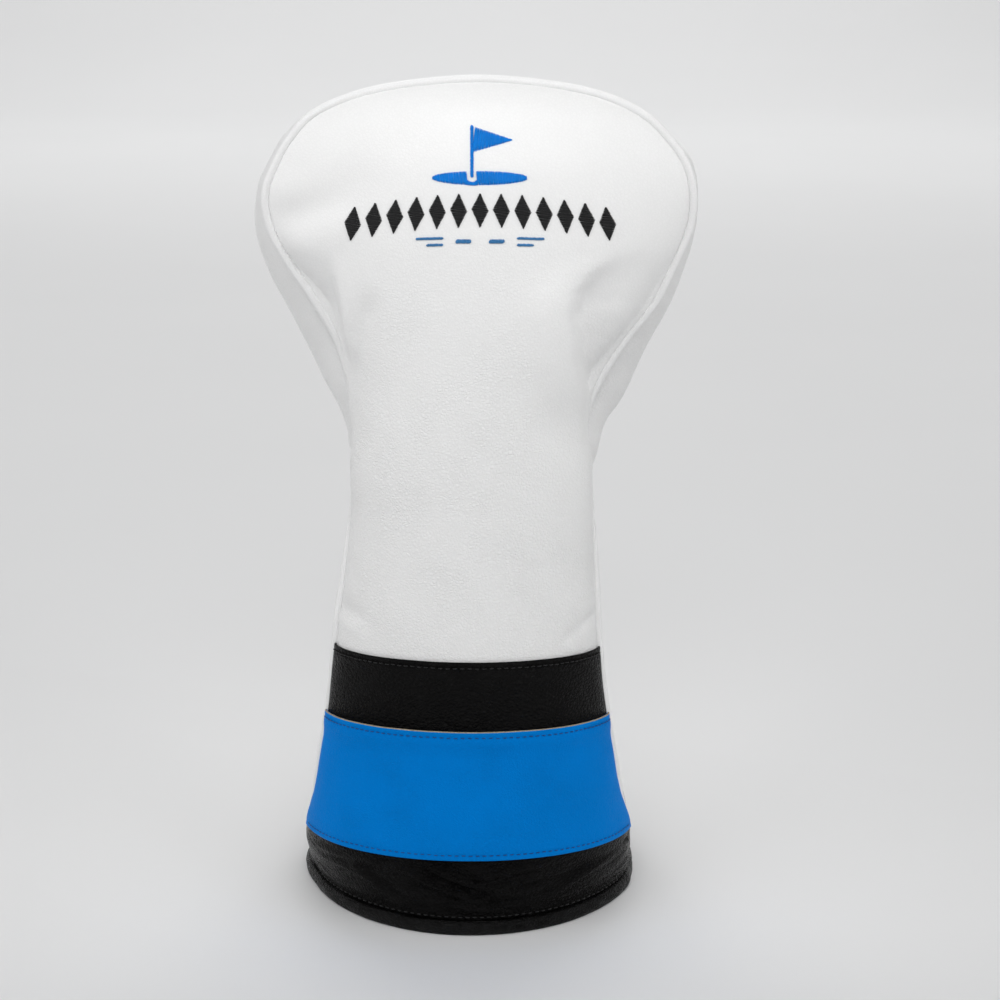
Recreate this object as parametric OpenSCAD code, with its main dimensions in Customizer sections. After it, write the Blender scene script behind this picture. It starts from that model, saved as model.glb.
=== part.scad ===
// Fabric and leather cover for a wood-type golf club head, standing on its
// open hem. The front faces -Y, +Z is up, +X is to the right seen from the
// front, and the origin is the centre of the footprint on the floor.
// All sizes in millimetres.

/* [Overall] */
// Height from the floor to the top piping
cover_h = 340; // [310:5:370]
// Width across the head
head_w = 174; // [158:2:190]
// Depth of the open base, front to back
base_d = 127; // [116:1:138]

/* [Layers] */
// Thickness of the outer leather
leather_t = 1.2; // [0.8:0.1:1.3]
// Thickness of the foam laminated behind the leather
foam_t = 2.4; // [1.5:0.1:2.6]
// Thickness of the fleece lining
lining_t = 1.5; // [1:0.1:2]

/* [Piping] */
// Outside diameter of the piping
piping_d = 3.4; // [2.8:0.1:3.8]
// Diameter of the filler cord inside the piping
piping_core_d = 1.8; // [1.2:0.1:2]

/* [Bands] */
// Height of the upper black band's top edge
black_top = 113; // [107:1:119]
// Height of the blue band's top edge
blue_top = 85; // [79:1:91]
// Height of the blue band's bottom edge
blue_bottom = 32; // [29:1:37]
// Height of the black cuff at the sides and back
cuff_top = 36; // [31:1:39]
// How far the bands drop towards their ends
band_drop = 1.2; // [0:0.2:3]
// How much lower the bands' right ends sit
band_lean = 0.7; // [0:0.2:2]

/* [Hem] */
// Height of the bound hem
hem_h = 6; // [5:0.5:6]
// Width of the bound hem's roll
hem_w = 6; // [5:0.5:7]

/* [Stitching] */
// Length of one stitch
stitch_len = 2; // [1.5:0.1:2.2]
// Diameter of the thread
thread_d = 0.5; // [0.4:0.05:0.6]

/* [Neck] */
// Height of the elastic's middle
elastic_z = 176; // [165:1:185]
// Width of the elastic tape
elastic_w = 20; // [12:1:25]

/* [Hidden] */

kx = head_w / 174;
ky = base_d / 127;
kz = cover_h / 340;

// One row of the body per line, from the hem to the top. Columns:
// height, left seam x, right seam x, front seam y, front middle y,
// spread of the front arc in degrees, left gusset swell, right gusset swell,
// back seam y, back middle y
ROWS = [
 [  6, -64.3, 62.2, -14, -61, 68,  6.5, 3,   36,  60  ],
 [ 18, -67,  63,  -18, -61,   74,  5,   2.5, 35,  60  ],
 [ 31, -67.5, 62.3, -22, -60.5, 78, 2,  1,   33,  59  ],
 [ 48, -65.3, 59.2, -26, -59.5, 80, 1,  0.8, 31,  57  ],
 [ 66, -62.5, 56.4, -28, -58, 80,  1,   0.8, 30,  55  ],
 [ 84, -59.3, 53.4, -29, -56.5, 80, 1,  0.8, 29,  53  ],
 [104, -57,  51,  -28, -55,   82,  1,   1,   27,  50  ],
 [124, -54.8, 49.5, -26, -53.5, 86, 1,  1,   25,  47  ],
 [146, -51.2, 48.2, -23, -52, 92,  1.5, 1,   24,  45  ],
 [168, -48,  46.4, -21.5, -51.5, 100, 2.5, 1.5, 24, 44 ],
 [188, -46.7, 44.6, -21.5, -51.5, 106, 5, 8,  24,  45  ],
 [204, -46.4, 43.6, -23, -52, 102, 9.5, 14.5, 26, 48  ],
 [220, -48.6, 49.2, -26, -52.5, 94, 14, 16.5, 28, 51  ],
 [236, -52.5, 58.6, -29, -53.5, 90, 16, 14,  30,  53  ],
 [252, -60.6, 70.2, -32, -54.5, 84, 15.5, 10.5, 32, 54.5],
 [268, -70.6, 77.6, -34, -55, 78,  14,  8.5, 33,  55  ],
 [282, -77.6, 83, -35, -55,   74,  11,  6.5, 33,  54.5],
 [295, -79,  84, -36, -54,   72,  8,   6,   34,  53  ],
 [306, -75,  81, -36, -52.5, 70,  7,   7,   34,  50  ],
 [316, -69,  74, -36, -50,   70,  7,   6,   34,  47  ],
 [325, -60,  64, -36, -47,   70,  6,   6,   34,  44  ],
 [332, -44,  48, -36, -43.5, 70,  5,   5,   34,  40  ],
 [336, -24,  28, -36, -39.5, 70,  5,   5,   34,  37  ]];
// The top of both seams, where left and right meet
TOP = [338, 2, -36, 34, 5];
NR = len(ROWS);

// The seam's control points run up the left side, over the top and down the
// right side
function zs(z) = z * kz;
// The rows are measured from a point a little off the footprint's centre
cx = -0.92;
cy = 0.5;
function xs(x) = (x + cx) * kx;
function ys(y) = (y + cy) * ky;
function front_ctl(i) = i < NR ? [xs(ROWS[i][1]), ys(ROWS[i][3]), zs(ROWS[i][0])]
    : i == NR ? [xs(TOP[1]), ys(TOP[2]), zs(TOP[0])]
    : let(r = ROWS[2 * NR - i]) [xs(r[2]), ys(r[3]), zs(r[0])];
// The back panel is a little smaller and its top sits lower
function back_z(z) = z <= 210 ? z : 210 + (z - 210) * 0.875;
function back_ctl(i) = i < NR ? [xs(ROWS[i][1] * 0.97), ys(ROWS[i][8]), zs(back_z(ROWS[i][0]))]
    : i == NR ? [xs(TOP[1]), ys(TOP[3]), zs(back_z(TOP[0]))]
    : let(r = ROWS[2 * NR - i]) [xs(r[2] * 0.97), ys(r[8]), zs(back_z(r[0]))];
FRONT = [for (i = [0:2 * NR]) front_ctl(i)];
BACK = [for (i = [0:2 * NR]) back_ctl(i)];
SWELL = [for (i = [0:2 * NR]) i < NR ? ROWS[i][6] : i == NR ? TOP[4] : ROWS[2 * NR - i][7]];
FRONT_MID = [for (r = ROWS) ys(r[4]), ys(TOP[2])];
BACK_MID = [for (r = ROWS) ys(r[9]), ys(TOP[3])];
SPREAD = [for (r = ROWS) r[5], 70];

// Catmull-Rom interpolation through a list of numbers or points
function cr(p0, p1, p2, p3, t) =
    0.5 * (2 * p1 + (p2 - p0) * t + (2 * p0 - 5 * p1 + 4 * p2 - p3) * t * t
           + (3 * p1 - p0 - 3 * p2 + p3) * t * t * t);
function at(list, t) =
    let(n = len(list) - 1, i = min(max(floor(t), 0), n - 1), f = t - i)
    cr(list[max(i - 1, 0)], list[i], list[i + 1], list[min(i + 2, n)], f);
function unit(v) = v / norm(v);

// Row number at a height
ROW_AT = [for (i = [0:NR - 1]) [ROWS[i][0], i], [TOP[0], NR]];
function row(z) = lookup(z, ROW_AT);

// Outward direction of a seam, square to its run, seen from the front, and
// level near the hem
function seam_out(list, s) =
    let(a = at(list, max(s - 0.1, 0)), b = at(list, min(s + 0.1, 2 * NR)), d = b - a,
        k = min(1, max(0, (a[2] - zs(6)) / 60)))
    unit([-d[2], 0, d[0] * k]);
// A panel runs into its seam along its own slope: the outward and the
// backward share of that slope at row r
function slope(list, mids, side, r) =
    let(l = at(list, r), g = at(list, 2 * NR - r), q = at(SPREAD, r), top = min(max((r - 18) / 4, 0), 1),
        b = side * (l[1] + g[1]) / 2 - side * at(mids, r),
        v = unit([max((g[0] - l[0]) / 2, 60) * cos(q) / sin(q), b * sin(q) / (1 - cos(q))]))
    unit(v * (1 - top) + [0.7, 0.7] * top);
// A point just short of the seam, where the panel's edge meets the piping
function edge(list, mids, side, s, inset) =
    let(v = slope(list, mids, side, min(s, 2 * NR - s)))
    at(list, s) - inset * (v[0] * seam_out(list, s) + [0, side * v[1], 0]);

gap = piping_d / 2 + 0.1;
// A point of the front or back panel's outer face: row number r, across u
// from -1 at the left seam to 1 at the right seam
function panel_pt(list, mids, side, r, u, inset) =
    let(l = edge(list, mids, side, r, inset), g = edge(list, mids, side, 2 * NR - r, inset),
        m = (l + g) / 2, h = (g - l) / 2, q = at(SPREAD, min(r, NR)),
        b = side * (m[1] - at(mids, r)))
    m + h * sin(u * q) / sin(q)
      - [0, side * b * (cos(u * q) - cos(q)) / (1 - cos(q)), 0];
function front_pt(r, u, inset = gap) = panel_pt(FRONT, FRONT_MID, 1, r, u, inset);
function back_pt(r, u, inset = gap) = panel_pt(BACK, BACK_MID, -1, r, u, inset);
// A point of the gusset's outer face: s along the seam, t from front to back
function gusset_pt(s, t, trim = gap) =
    let(a = at(FRONT, s), b = at(BACK, s), w = norm(b - a), c = trim / w,
        k = c + t * (1 - 2 * c))
    a + (b - a) * k + seam_out(FRONT, s) * (at(SWELL, s) * 4 * k * (1 - k) - 0.6);

// Outward normals of the three faces, by small steps
function cross_n(a, b) = unit(cross(a, b));
function front_n(r, u) = cross_n(front_pt(r, u + 0.03) - front_pt(r, u - 0.03),
                                 front_pt(r + 0.05, u) - front_pt(r - 0.05, u));
function back_n(r, u) = cross_n(back_pt(r + 0.05, u) - back_pt(r - 0.05, u),
                                back_pt(r, u + 0.03) - back_pt(r, u - 0.03));
function gusset_n(s, t) =
    cross_n(gusset_pt(min(s + 0.1, 2 * NR), t) - gusset_pt(max(s - 0.1, 0), t),
            gusset_pt(s, t + 0.05) - gusset_pt(s, t - 0.05));

// Solid between an outer and an inner grid of points of the same size. With
// loop, the last column joins the first.
module sheet(outer, inner, loop = false) {
    nr = len(outer);
    nc = len(outer[0]);
    n = nr * nc;
    pts = [for (r = outer) for (p = r) p, for (r = inner) for (p = r) p];
    cc = loop ? nc : nc - 1;
    function id(r, c) = r * nc + (c % nc);
    faces = [
        for (r = [0:nr - 2]) for (c = [0:cc - 1]) each [
            [id(r, c), id(r + 1, c), id(r + 1, c + 1)],
            [id(r, c), id(r + 1, c + 1), id(r, c + 1)],
            [n + id(r, c), n + id(r + 1, c + 1), n + id(r + 1, c)],
            [n + id(r, c), n + id(r, c + 1), n + id(r + 1, c + 1)]],
        for (c = [0:cc - 1]) each [
            [id(0, c), id(0, c + 1), n + id(0, c + 1)],
            [id(0, c), n + id(0, c + 1), n + id(0, c)],
            [id(nr - 1, c + 1), id(nr - 1, c), n + id(nr - 1, c)],
            [id(nr - 1, c + 1), n + id(nr - 1, c), n + id(nr - 1, c + 1)]],
        if (!loop) for (r = [0:nr - 2]) each [
            [id(r + 1, 0), id(r, 0), n + id(r, 0)],
            [id(r + 1, 0), n + id(r, 0), n + id(r + 1, 0)],
            [id(r, nc - 1), id(r + 1, nc - 1), n + id(r + 1, nc - 1)],
            [id(r, nc - 1), n + id(r + 1, nc - 1), n + id(r, nc - 1)]]];
    polyhedron(points = pts, faces = faces, convexity = 8);
}

// Grid of points of a panel, moved outwards by d
function span(a, b, n) = [for (i = [0:n]) a + (b - a) * i / n];
function front_grid(rs, us, d) = [for (r = rs) [for (u = us) front_pt(r, u) + d * front_n(r, u)]];
function back_grid(rs, us, d) = [for (r = rs) [for (u = us) back_pt(r, u) + d * back_n(r, u)]];
function gusset_grid(ss, ts, d) = [for (s = ss) [for (t = ts) gusset_pt(s, t) + d * gusset_n(s, t)]];

// Rows of the big panels, closer together over the top
low_rows = [0.05, row(14), row(22), 2];
panel_rows = concat(low_rows, span(3, 21, 18), [21.8, 22.4]);
foam_in = leather_t + 0.6;

module front_panel() color("whitesmoke")
    sheet(front_grid(panel_rows, span(-1, 1, 16), 0),
          front_grid(panel_rows, span(-1, 1, 16), -leather_t));

module back_panel() color("whitesmoke")
    sheet(back_grid(panel_rows, span(1, -1, 14), 0),
          back_grid(panel_rows, span(1, -1, 14), -leather_t));

gusset_s = concat(low_rows, span(3, 2 * NR - 3, 34), [for (i = [3:-1:0]) 2 * NR - low_rows[i]]);
pad_s = [for (s = gusset_s) if (s > 0.5 && s < 2 * NR - 0.5) s];
module gusset() color("white")
    sheet(gusset_grid(gusset_s, span(1, 0, 6), 0),
          gusset_grid(gusset_s, span(1, 0, 6), -leather_t));

// Foam behind each panel, stopping short of the seams
foam_rows = [for (r = panel_rows) if (r > 0.6 && r < 21.2) r];
module front_padding() color("gainsboro")
    sheet(front_grid(foam_rows, span(-0.875, 0.875, 14), -foam_in),
          front_grid(foam_rows, span(-0.875, 0.875, 14), -foam_in - foam_t));
module back_padding() color("gainsboro")
    sheet(back_grid(foam_rows, span(6 / 7, -6 / 7, 12), -foam_in),
          back_grid(foam_rows, span(6 / 7, -6 / 7, 12), -foam_in - foam_t));
module gusset_padding() color("gainsboro")
    sheet(gusset_grid(pad_s, span(5 / 6, 1 / 6, 4), -foam_in),
          gusset_grid(pad_s, span(5 / 6, 1 / 6, 4), -foam_in - foam_t));

// Bands across the front. The ends drop towards the side seams.
function band_dip(u) = band_drop * u * u + band_lean * u;
function band_row(z, u) = row(z - band_dip(u));
function band_grid(zs, us, ds) = [for (i = [0:len(zs) - 1])
    [for (u = us) let(r = band_row(zs[i], u)) front_pt(r, u) + ds[i] * front_n(r, u)]];
module band(zs, ds, t) {
    us = span(-1, 1, 16);
    sheet(band_grid(zs, us, [for (d = ds) d + t]), band_grid(zs, us, ds));
}
module upper_black_band() color([0.08, 0.08, 0.08])
    band([blue_top - 5, (blue_top + black_top) / 2, black_top], [0.3, 0.3, 0.3], 0.9);
module blue_band() color([0.0, 0.45, 0.8])
    band([blue_bottom, blue_bottom + 7, blue_bottom + 10, 46, 58, blue_top - 10, blue_top - 6.5, blue_top],
         [1.9, 1.9, 0.35, 0.35, 0.35, 0.35, 1.6, 1.6], 0.9);

// The ring of the body at row r: k runs 0-1 across the front, 1-2 back along
// the right gusset, 2-3 across the back, 3-4 forward along the left gusset
function ring_pt(r, k) = let(q = k % 4)
    q < 1 ? front_pt(r, 2 * q - 1)
    : q < 2 ? gusset_pt(2 * NR - r, q - 1)
    : q < 3 ? back_pt(r, 5 - 2 * q)
    : gusset_pt(r, 4 - q);
function ring_n(r, k) =
    let(d = ring_pt(r, (k + 0.04) % 4) - ring_pt(r, (k + 3.96) % 4)) unit([d[1], -d[0], 0]);
ring_ks = concat(span(0, 1, 16), span(7 / 6, 11 / 6, 4), span(2, 3, 14), span(19 / 6, 23 / 6, 4));
function ring(r, d) = [for (k = ring_ks) ring_pt(r, k) + d * ring_n(r, k)];
function cuff_row(z, k) = row(z - band_dip(k < 1 ? 2 * k - 1 : k < 2 ? 1 : k < 3 ? 5 - 2 * k : -1));
function ring_at(z, d) = [for (k = ring_ks) let(r = cuff_row(z, k)) ring_pt(r, k) + d * ring_n(r, k)];
cuff_zs = [18, 27, cuff_top];
module black_cuff() color([0.08, 0.08, 0.08])
    sheet(concat([ring(0.05, 1.65)], [for (z = cuff_zs) ring_at(z, 1.65)]),
          concat([ring(0.05, 0.85)], [for (z = cuff_zs) ring_at(z, 0.85)]), loop = true);

// Bound hem: a rounded roll, flat underneath where it stands on the floor
function flat2(list) = [for (p = list) [p[0], p[1]]];
module hem_layer(z0, z1, a, b) translate([0, 0, z0]) linear_extrude(z1 - z0) difference() {
    polygon(flat2(ring(0, a)));
    polygon(flat2(ring(0, b)));
}
hem_o = 3.2;
module hem_binding() color([0.06, 0.06, 0.06]) union() {
    hem_layer(0, 1, hem_o - 1, hem_o - hem_w + 1);
    hem_layer(1, hem_h - 1.2, hem_o, hem_o - hem_w);
    hem_layer(hem_h - 1.2, hem_h - 0.1, hem_o - 1.2, hem_o - hem_w + 1.2);
}

// Tube swept along a seam, from row a up one side and down to row a on the
// other. With a bore, it is hollow.
function tube_ring(list, s, r, n) =
    let(p = at(list, s), d = unit(at(list, min(s + 0.08, 2 * NR)) - at(list, max(s - 0.08, 0))),
        o = seam_out(list, s), e = unit(cross(o, d)), f = cross(d, e))
    [for (i = [0:n - 1]) p + r * (cos(360 * i / n) * f - sin(360 * i / n) * e)];
pipe_s = function (a) concat(span(a, 15, 12), span(16, 30, 22), span(31, 2 * NR - a, 12));
module tube(list, a, r, bore = 0, n = 8) {
    ss = pipe_s(a);
    if (bore > 0)
        sheet([for (s = ss) tube_ring(list, s, r, n)], [for (s = ss) tube_ring(list, s, bore, n)], loop = true);
    else {
        pts = [for (s = ss) each tube_ring(list, s, r, n)];
        m = len(ss);
        polyhedron(points = pts, convexity = 8, faces = [
            [for (i = [0:n - 1]) i], [for (i = [0:n - 1]) (m - 1) * n + n - 1 - i],
            for (j = [0:m - 2]) for (i = [0:n - 1]) each [
                [j * n + i, (j + 1) * n + i, (j + 1) * n + (i + 1) % n],
                [j * n + i, (j + 1) * n + (i + 1) % n, j * n + (i + 1) % n]]]);
    }
}
pipe_start = row(39);
module front_piping() color("white") tube(FRONT, pipe_start, piping_d / 2, piping_core_d / 2 + 0.15);
module front_piping_cord() color("ivory") tube(FRONT, pipe_start + 0.05, piping_core_d / 2, 0, 6);
module back_piping() color("white") tube(BACK, pipe_start, piping_d / 2, piping_core_d / 2 + 0.15);
module back_piping_cord() color("ivory") tube(BACK, pipe_start + 0.05, piping_core_d / 2, 0, 6);

// Fleece lining: a separate bag that hangs inside. One row per line: height,
// middle x, half width, front y, back y
BAG = [
 [  6.3, -2.3, 59.6, -52.8, 55 ],
 [ 12, -2.2, 58.6, -51.2, 53.4 ],
 [ 20, -2,   57, -49.5, 51 ],
 [ 40, -3,   56, -50, 49 ],
 [ 66, -3,   51, -48, 45 ],
 [ 96, -3.5, 46, -44, 41 ],
 [130, -2,   43, -40, 36 ],
 [168, -1,   40, -38, 33 ],
 [195, -1,   40, -38, 35 ],
 [215,  0,   44, -40, 38 ],
 [235,  1,   52, -42, 41 ],
 [255,  3,   62, -44, 43 ],
 [272,  3,   68, -45, 43 ],
 [286,  3,   69, -44, 41 ],
 [298,  2,   63, -42, 36 ],
 [307,  2,   54, -39, 29 ],
 [314,  2,   40, -35, 20 ],
 [318,  2,   24, -31, 10 ]];
function bag_pt(b, a, d) =
    let(c = cos(a), s = sin(a), y = (b[3] + b[4]) / 2, hy = (b[4] - b[3]) / 2 - d, hx = b[2] - d,
        m = pow(pow(abs(c), 2.3) + pow(abs(s), 2.3), -1 / 2.3))
    [xs(b[1] + hx * m * c), ys(y + hy * m * s), zs(b[0]) - (d > 0 && b[0] > 300 ? d : 0)];
bag_n = 28;
function bag_ring(i, d) = [for (j = [0:bag_n - 1]) bag_pt(BAG[i], 360 * j / bag_n, d)];
module lining() color([0.25, 0.25, 0.27]) bag();
module bag() {
    n = len(BAG);
    outer = [for (i = [0:n - 1]) each bag_ring(i, 0)];
    inner = [for (i = [0:n - 1]) each bag_ring(i, lining_t)];
    m = n * bag_n;
    function id(r, c) = r * bag_n + (c % bag_n);
    polyhedron(convexity = 8, points = concat(outer, inner), faces = [
        for (r = [0:n - 2]) for (c = [0:bag_n - 1]) each [
            [id(r, c), id(r + 1, c), id(r + 1, c + 1)],
            [id(r, c), id(r + 1, c + 1), id(r, c + 1)],
            [m + id(r, c), m + id(r + 1, c + 1), m + id(r + 1, c)],
            [m + id(r, c), m + id(r, c + 1), m + id(r + 1, c + 1)]],
        for (c = [0:bag_n - 1]) each [
            [id(0, c), id(0, c + 1), m + id(0, c + 1)],
            [id(0, c), m + id(0, c + 1), m + id(0, c)]],
        [for (c = [bag_n - 1:-1:0]) id(n - 1, c)],
        [for (c = [0:bag_n - 1]) m + id(n - 1, c)]]);
}

// Elastic tape at the neck, between the back padding and the lining
el_r0 = row(elastic_z - elastic_w / 2);
el_r1 = row(elastic_z + elastic_w / 2);
el_in = foam_in + foam_t + 0.3;
module neck_elastic() color("white")
    sheet(back_grid([el_r0, (el_r0 + el_r1) / 2, el_r1], span(0.84, -0.84, 14), -el_in),
          back_grid([el_r0, (el_r0 + el_r1) / 2, el_r1], span(0.84, -0.84, 14), -el_in - 0.9));

// A straight stitch from a to b, lying on a face with outward normal n
module stitch(a, b, n, w, h) {
    d = b - a;
    l = norm(d);
    x = d / l;
    y = unit(cross(n, x));
    z = cross(x, y);
    m = (a + b) / 2;
    multmatrix([[x[0], y[0], z[0], m[0]], [x[1], y[1], z[1], m[1]], [x[2], y[2], z[2], m[2]], [0, 0, 0, 1]])
        translate([-l / 2, -w / 2, 0]) cube([l, w, h]);
}
// Row of stitches across the front, z at the middle, d above the leather
module front_stitches(z, d, n) for (i = [0:n - 1]) {
    u = -0.96 + 1.92 * (i + 0.5) / n;
    r = band_row(z, u);
    nn = front_n(r, u);
    r2 = band_row(z, u + 0.01);
    p = front_pt(r, u) + (d + 0.02) * nn;
    x = unit(front_pt(r2, u + 0.01) - front_pt(r, u));
    stitch(p - x * stitch_len / 2, p + x * stitch_len / 2, nn, thread_d, thread_d / 2);
}
module ring_stitches(z, d, k0, k1, n, level = false) for (i = [0:n - 1]) {
    k = k0 + (k1 - k0) * (i + 0.5) / n;
    r = level ? row(z) : cuff_row(z, k);
    nn = ring_n(r, k);
    p = ring_pt(r, k) + (d + 0.1) * nn;
    x = unit([-nn[1], nn[0], 0]);
    stitch(p - x * stitch_len / 2, p + x * stitch_len / 2, nn, thread_d, thread_d / 2);
}
module black_band_stitching() color("black") front_stitches(black_top - 2.5, 1.25, 52);
module blue_top_stitching() color("navy") front_stitches(blue_top - 2.5, 2.55, 56);
module blue_bottom_stitching() color("navy") front_stitches(blue_bottom + 2.5, 2.85, 64);
module cuff_stitching() color("black") {
    ring_stitches(cuff_top - 2.5, 1.7, 1.15, 1.85, 16);
    ring_stitches(cuff_top - 2.5, 1.7, 2.03, 2.97, 50);
    ring_stitches(cuff_top - 2.5, 1.7, 3.15, 3.85, 16);
}
module hem_stitching() color("black") {
    ring_stitches(8.2, 1.7, 0.02, 0.98, 56, true);
    ring_stitches(8.2, 1.7, 1.12, 1.88, 18, true);
    ring_stitches(8.2, 1.7, 2.03, 2.97, 50, true);
    ring_stitches(8.2, 1.7, 3.12, 3.88, 18, true);
}
// Zigzag that holds the elastic
module elastic_stitching() color("white") for (i = [0:23]) {
    u0 = -0.8 + 1.6 * i / 24;
    u1 = u0 + 1.6 / 24;
    ra = i % 2 == 0 ? el_r0 + 0.3 : el_r1 - 0.3;
    rb = i % 2 == 0 ? el_r1 - 0.3 : el_r0 + 0.3;
    d = -el_in - 1.4;
    na = back_n((ra + rb) / 2, (u0 + u1) / 2);
    stitch(back_pt(ra, u0 + 0.006) + d * na, back_pt(rb, u1 - 0.006) + d * na, na, thread_d, 0.3);
}

// Embroidery on the head. x and z are seen from the front.
function front_at(x, z) =
    let(r = row(z / kz), l = edge(FRONT, FRONT_MID, 1, r, gap), g = edge(FRONT, FRONT_MID, 1, 2 * NR - r, gap),
        q = at(SPREAD, r),
        v = (x - (l[0] + g[0]) / 2) / ((g[0] - l[0]) / 2))
    [r, asin(min(max(v * sin(q), -1), 1)) / q];
// A satin bar between two points given as x and z
module satin(x0, z0, x1, z1, w, h = 0.6) {
    a = front_at(x0, z0);
    b = front_at(x1, z1);
    n = front_n((a[0] + b[0]) / 2, (a[1] + b[1]) / 2);
    stitch(front_pt(a[0], a[1]) + 0.2 * n, front_pt(b[0], b[1]) + 0.2 * n, n, w, h);
}
em_x = 2;
em_z = 309;
// Flagstick and pennant
module emblem_flag() color([0.05, 0.4, 0.85]) {
    for (i = [0:2]) satin(em_x - 3, em_z - 5 + i * 6, em_x - 3, em_z + 0.8 + i * 6, 1.2);
    for (i = [0:9]) {
        x = em_x - 1.7 + i * 1.5;
        hh = 4.4 * (1 - i / 10.5);
        satin(x, em_z + 8 - hh, x, em_z + 8 + hh, 1.2);
    }
}
// Oval putting green round the foot of the stick, in level satin rows
module emblem_green() color([0.05, 0.4, 0.85]) for (i = [0:3]) {
    dz = 2.1 - i * 1.4;
    w = 18 * sqrt(1 - pow(dz / 2.9, 2));
    hole = i < 2 ? 1.6 : 0.3;
    satin(em_x - w, em_z - 6 + dz, em_x - 3 - hole, em_z - 6 + dz, 1.0);
    satin(em_x - 3 + hole, em_z - 6 + dz, em_x + w, em_z - 6 + dz, 1.0);
}
// Arched row of diamonds, each in narrow upright bars
module diamond_row() color("black") for (i = [-6:6]) {
    x = em_x + i * 8;
    z = 291 - 0.16 * i * i;
    for (j = [-2:2]) {
        hh = 6.2 * (1 - abs(j) / 3);
        satin(x + j * 1.15, z - hh, x + j * 1.15, z + hh, 1.0);
    }
}
module accent_dashes() color("steelblue") for (s = [-1, 1]) {
    satin(em_x + s * 14, 280.4, em_x + s * 24, 280, 0.9);
    satin(em_x + s * 14, 277.8, em_x + s * 20, 277.6, 0.9);
    satin(em_x + s * 3.5, 279.2, em_x + s * 9, 279.2, 1.6);
}
// Stabiliser cloth behind the embroidery
back_rows = [for (r = panel_rows) if (r > 13.9 && r < 19.2) r];
module embroidery_backing() color("white")
    sheet(front_grid(back_rows, span(-0.625, 0.625, 10), -leather_t - 0.15),
          front_grid(back_rows, span(-0.625, 0.625, 10), -leather_t - 0.35));

front_panel();
back_panel();
gusset();
upper_black_band();
blue_band();
black_cuff();
hem_binding();
front_piping();
front_piping_cord();
back_piping();
back_piping_cord();
front_padding();
back_padding();
gusset_padding();
lining();
neck_elastic();
elastic_stitching();
embroidery_backing();
black_band_stitching();
blue_top_stitching();
blue_bottom_stitching();
cuff_stitching();
hem_stitching();
emblem_flag();
emblem_green();
diamond_row();
accent_dashes();
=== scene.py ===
import math

import bpy
import numpy as np
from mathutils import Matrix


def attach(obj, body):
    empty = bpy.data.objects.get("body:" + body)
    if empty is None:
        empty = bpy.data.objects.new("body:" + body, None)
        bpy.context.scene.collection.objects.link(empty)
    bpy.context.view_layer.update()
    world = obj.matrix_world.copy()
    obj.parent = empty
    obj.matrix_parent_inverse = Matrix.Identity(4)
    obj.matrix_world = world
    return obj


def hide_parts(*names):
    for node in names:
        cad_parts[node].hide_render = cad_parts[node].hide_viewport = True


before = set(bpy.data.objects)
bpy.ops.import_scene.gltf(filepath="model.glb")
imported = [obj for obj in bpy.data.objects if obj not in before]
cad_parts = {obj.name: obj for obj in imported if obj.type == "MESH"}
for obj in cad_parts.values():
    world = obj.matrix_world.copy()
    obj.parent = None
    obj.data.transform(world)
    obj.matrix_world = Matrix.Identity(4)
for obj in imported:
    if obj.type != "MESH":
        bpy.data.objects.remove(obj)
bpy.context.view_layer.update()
MM = 0.001
scene = bpy.context.scene

# ---------------------------------------------------------------- body shape
# The same rows as the CAD, in millimetres: height, left and right seam x,
# front seam y, front middle y, spread, left and right swell, back seam y,
# back middle y.
ROWS = np.array([
    [6, -64.3, 62.2, -14, -61, 68, 6.5, 3, 36, 60],
    [18, -67, 63, -18, -61, 74, 5, 2.5, 35, 60],
    [31, -67.5, 62.3, -22, -60.5, 78, 2, 1, 33, 59],
    [48, -65.3, 59.2, -26, -59.5, 80, 1, 0.8, 31, 57],
    [66, -62.5, 56.4, -28, -58, 80, 1, 0.8, 30, 55],
    [84, -59.3, 53.4, -29, -56.5, 80, 1, 0.8, 29, 53],
    [104, -57, 51, -28, -55, 82, 1, 1, 27, 50],
    [124, -54.8, 49.5, -26, -53.5, 86, 1, 1, 25, 47],
    [146, -51.2, 48.2, -23, -52, 92, 1.5, 1, 24, 45],
    [168, -48, 46.4, -21.5, -51.5, 100, 2.5, 1.5, 24, 44],
    [188, -46.7, 44.6, -21.5, -51.5, 106, 5, 8, 24, 45],
    [204, -46.4, 43.6, -23, -52, 102, 9.5, 14.5, 26, 48],
    [220, -48.6, 49.2, -26, -52.5, 94, 14, 16.5, 28, 51],
    [236, -52.5, 58.6, -29, -53.5, 90, 16, 14, 30, 53],
    [252, -60.6, 70.2, -32, -54.5, 84, 15.5, 10.5, 32, 54.5],
    [268, -70.6, 77.6, -34, -55, 78, 14, 8.5, 33, 55],
    [282, -77.6, 83, -35, -55, 74, 11, 6.5, 33, 54.5],
    [295, -79, 84, -36, -54, 72, 8, 6, 34, 53],
    [306, -75, 81, -36, -52.5, 70, 7, 7, 34, 50],
    [316, -69, 74, -36, -50, 70, 7, 6, 34, 47],
    [325, -60, 64, -36, -47, 70, 6, 6, 34, 44],
    [332, -44, 48, -36, -43.5, 70, 5, 5, 34, 40],
    [336, -24, 28, -36, -39.5, 70, 5, 5, 34, 37]], float)
TOP = (338, 2, -36, 34, 5)
NR = len(ROWS)
CX, CY = -0.92, 0.5
PIPE_R = 1.7
LEATHER = 1.2
FOAM = 2.4


def back_z(z):
    return z if z <= 210 else 210 + (z - 210) * 0.875


def controls(cols, shrink, zf, top_y):
    left = [[(r[1] * shrink) + CX, r[cols] + CY, zf(r[0])] for r in ROWS]
    right = [[(r[2] * shrink) + CX, r[cols] + CY, zf(r[0])] for r in ROWS[::-1]]
    return np.array(left + [[TOP[1] + CX, top_y + CY, zf(TOP[0])]] + right, float)


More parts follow.
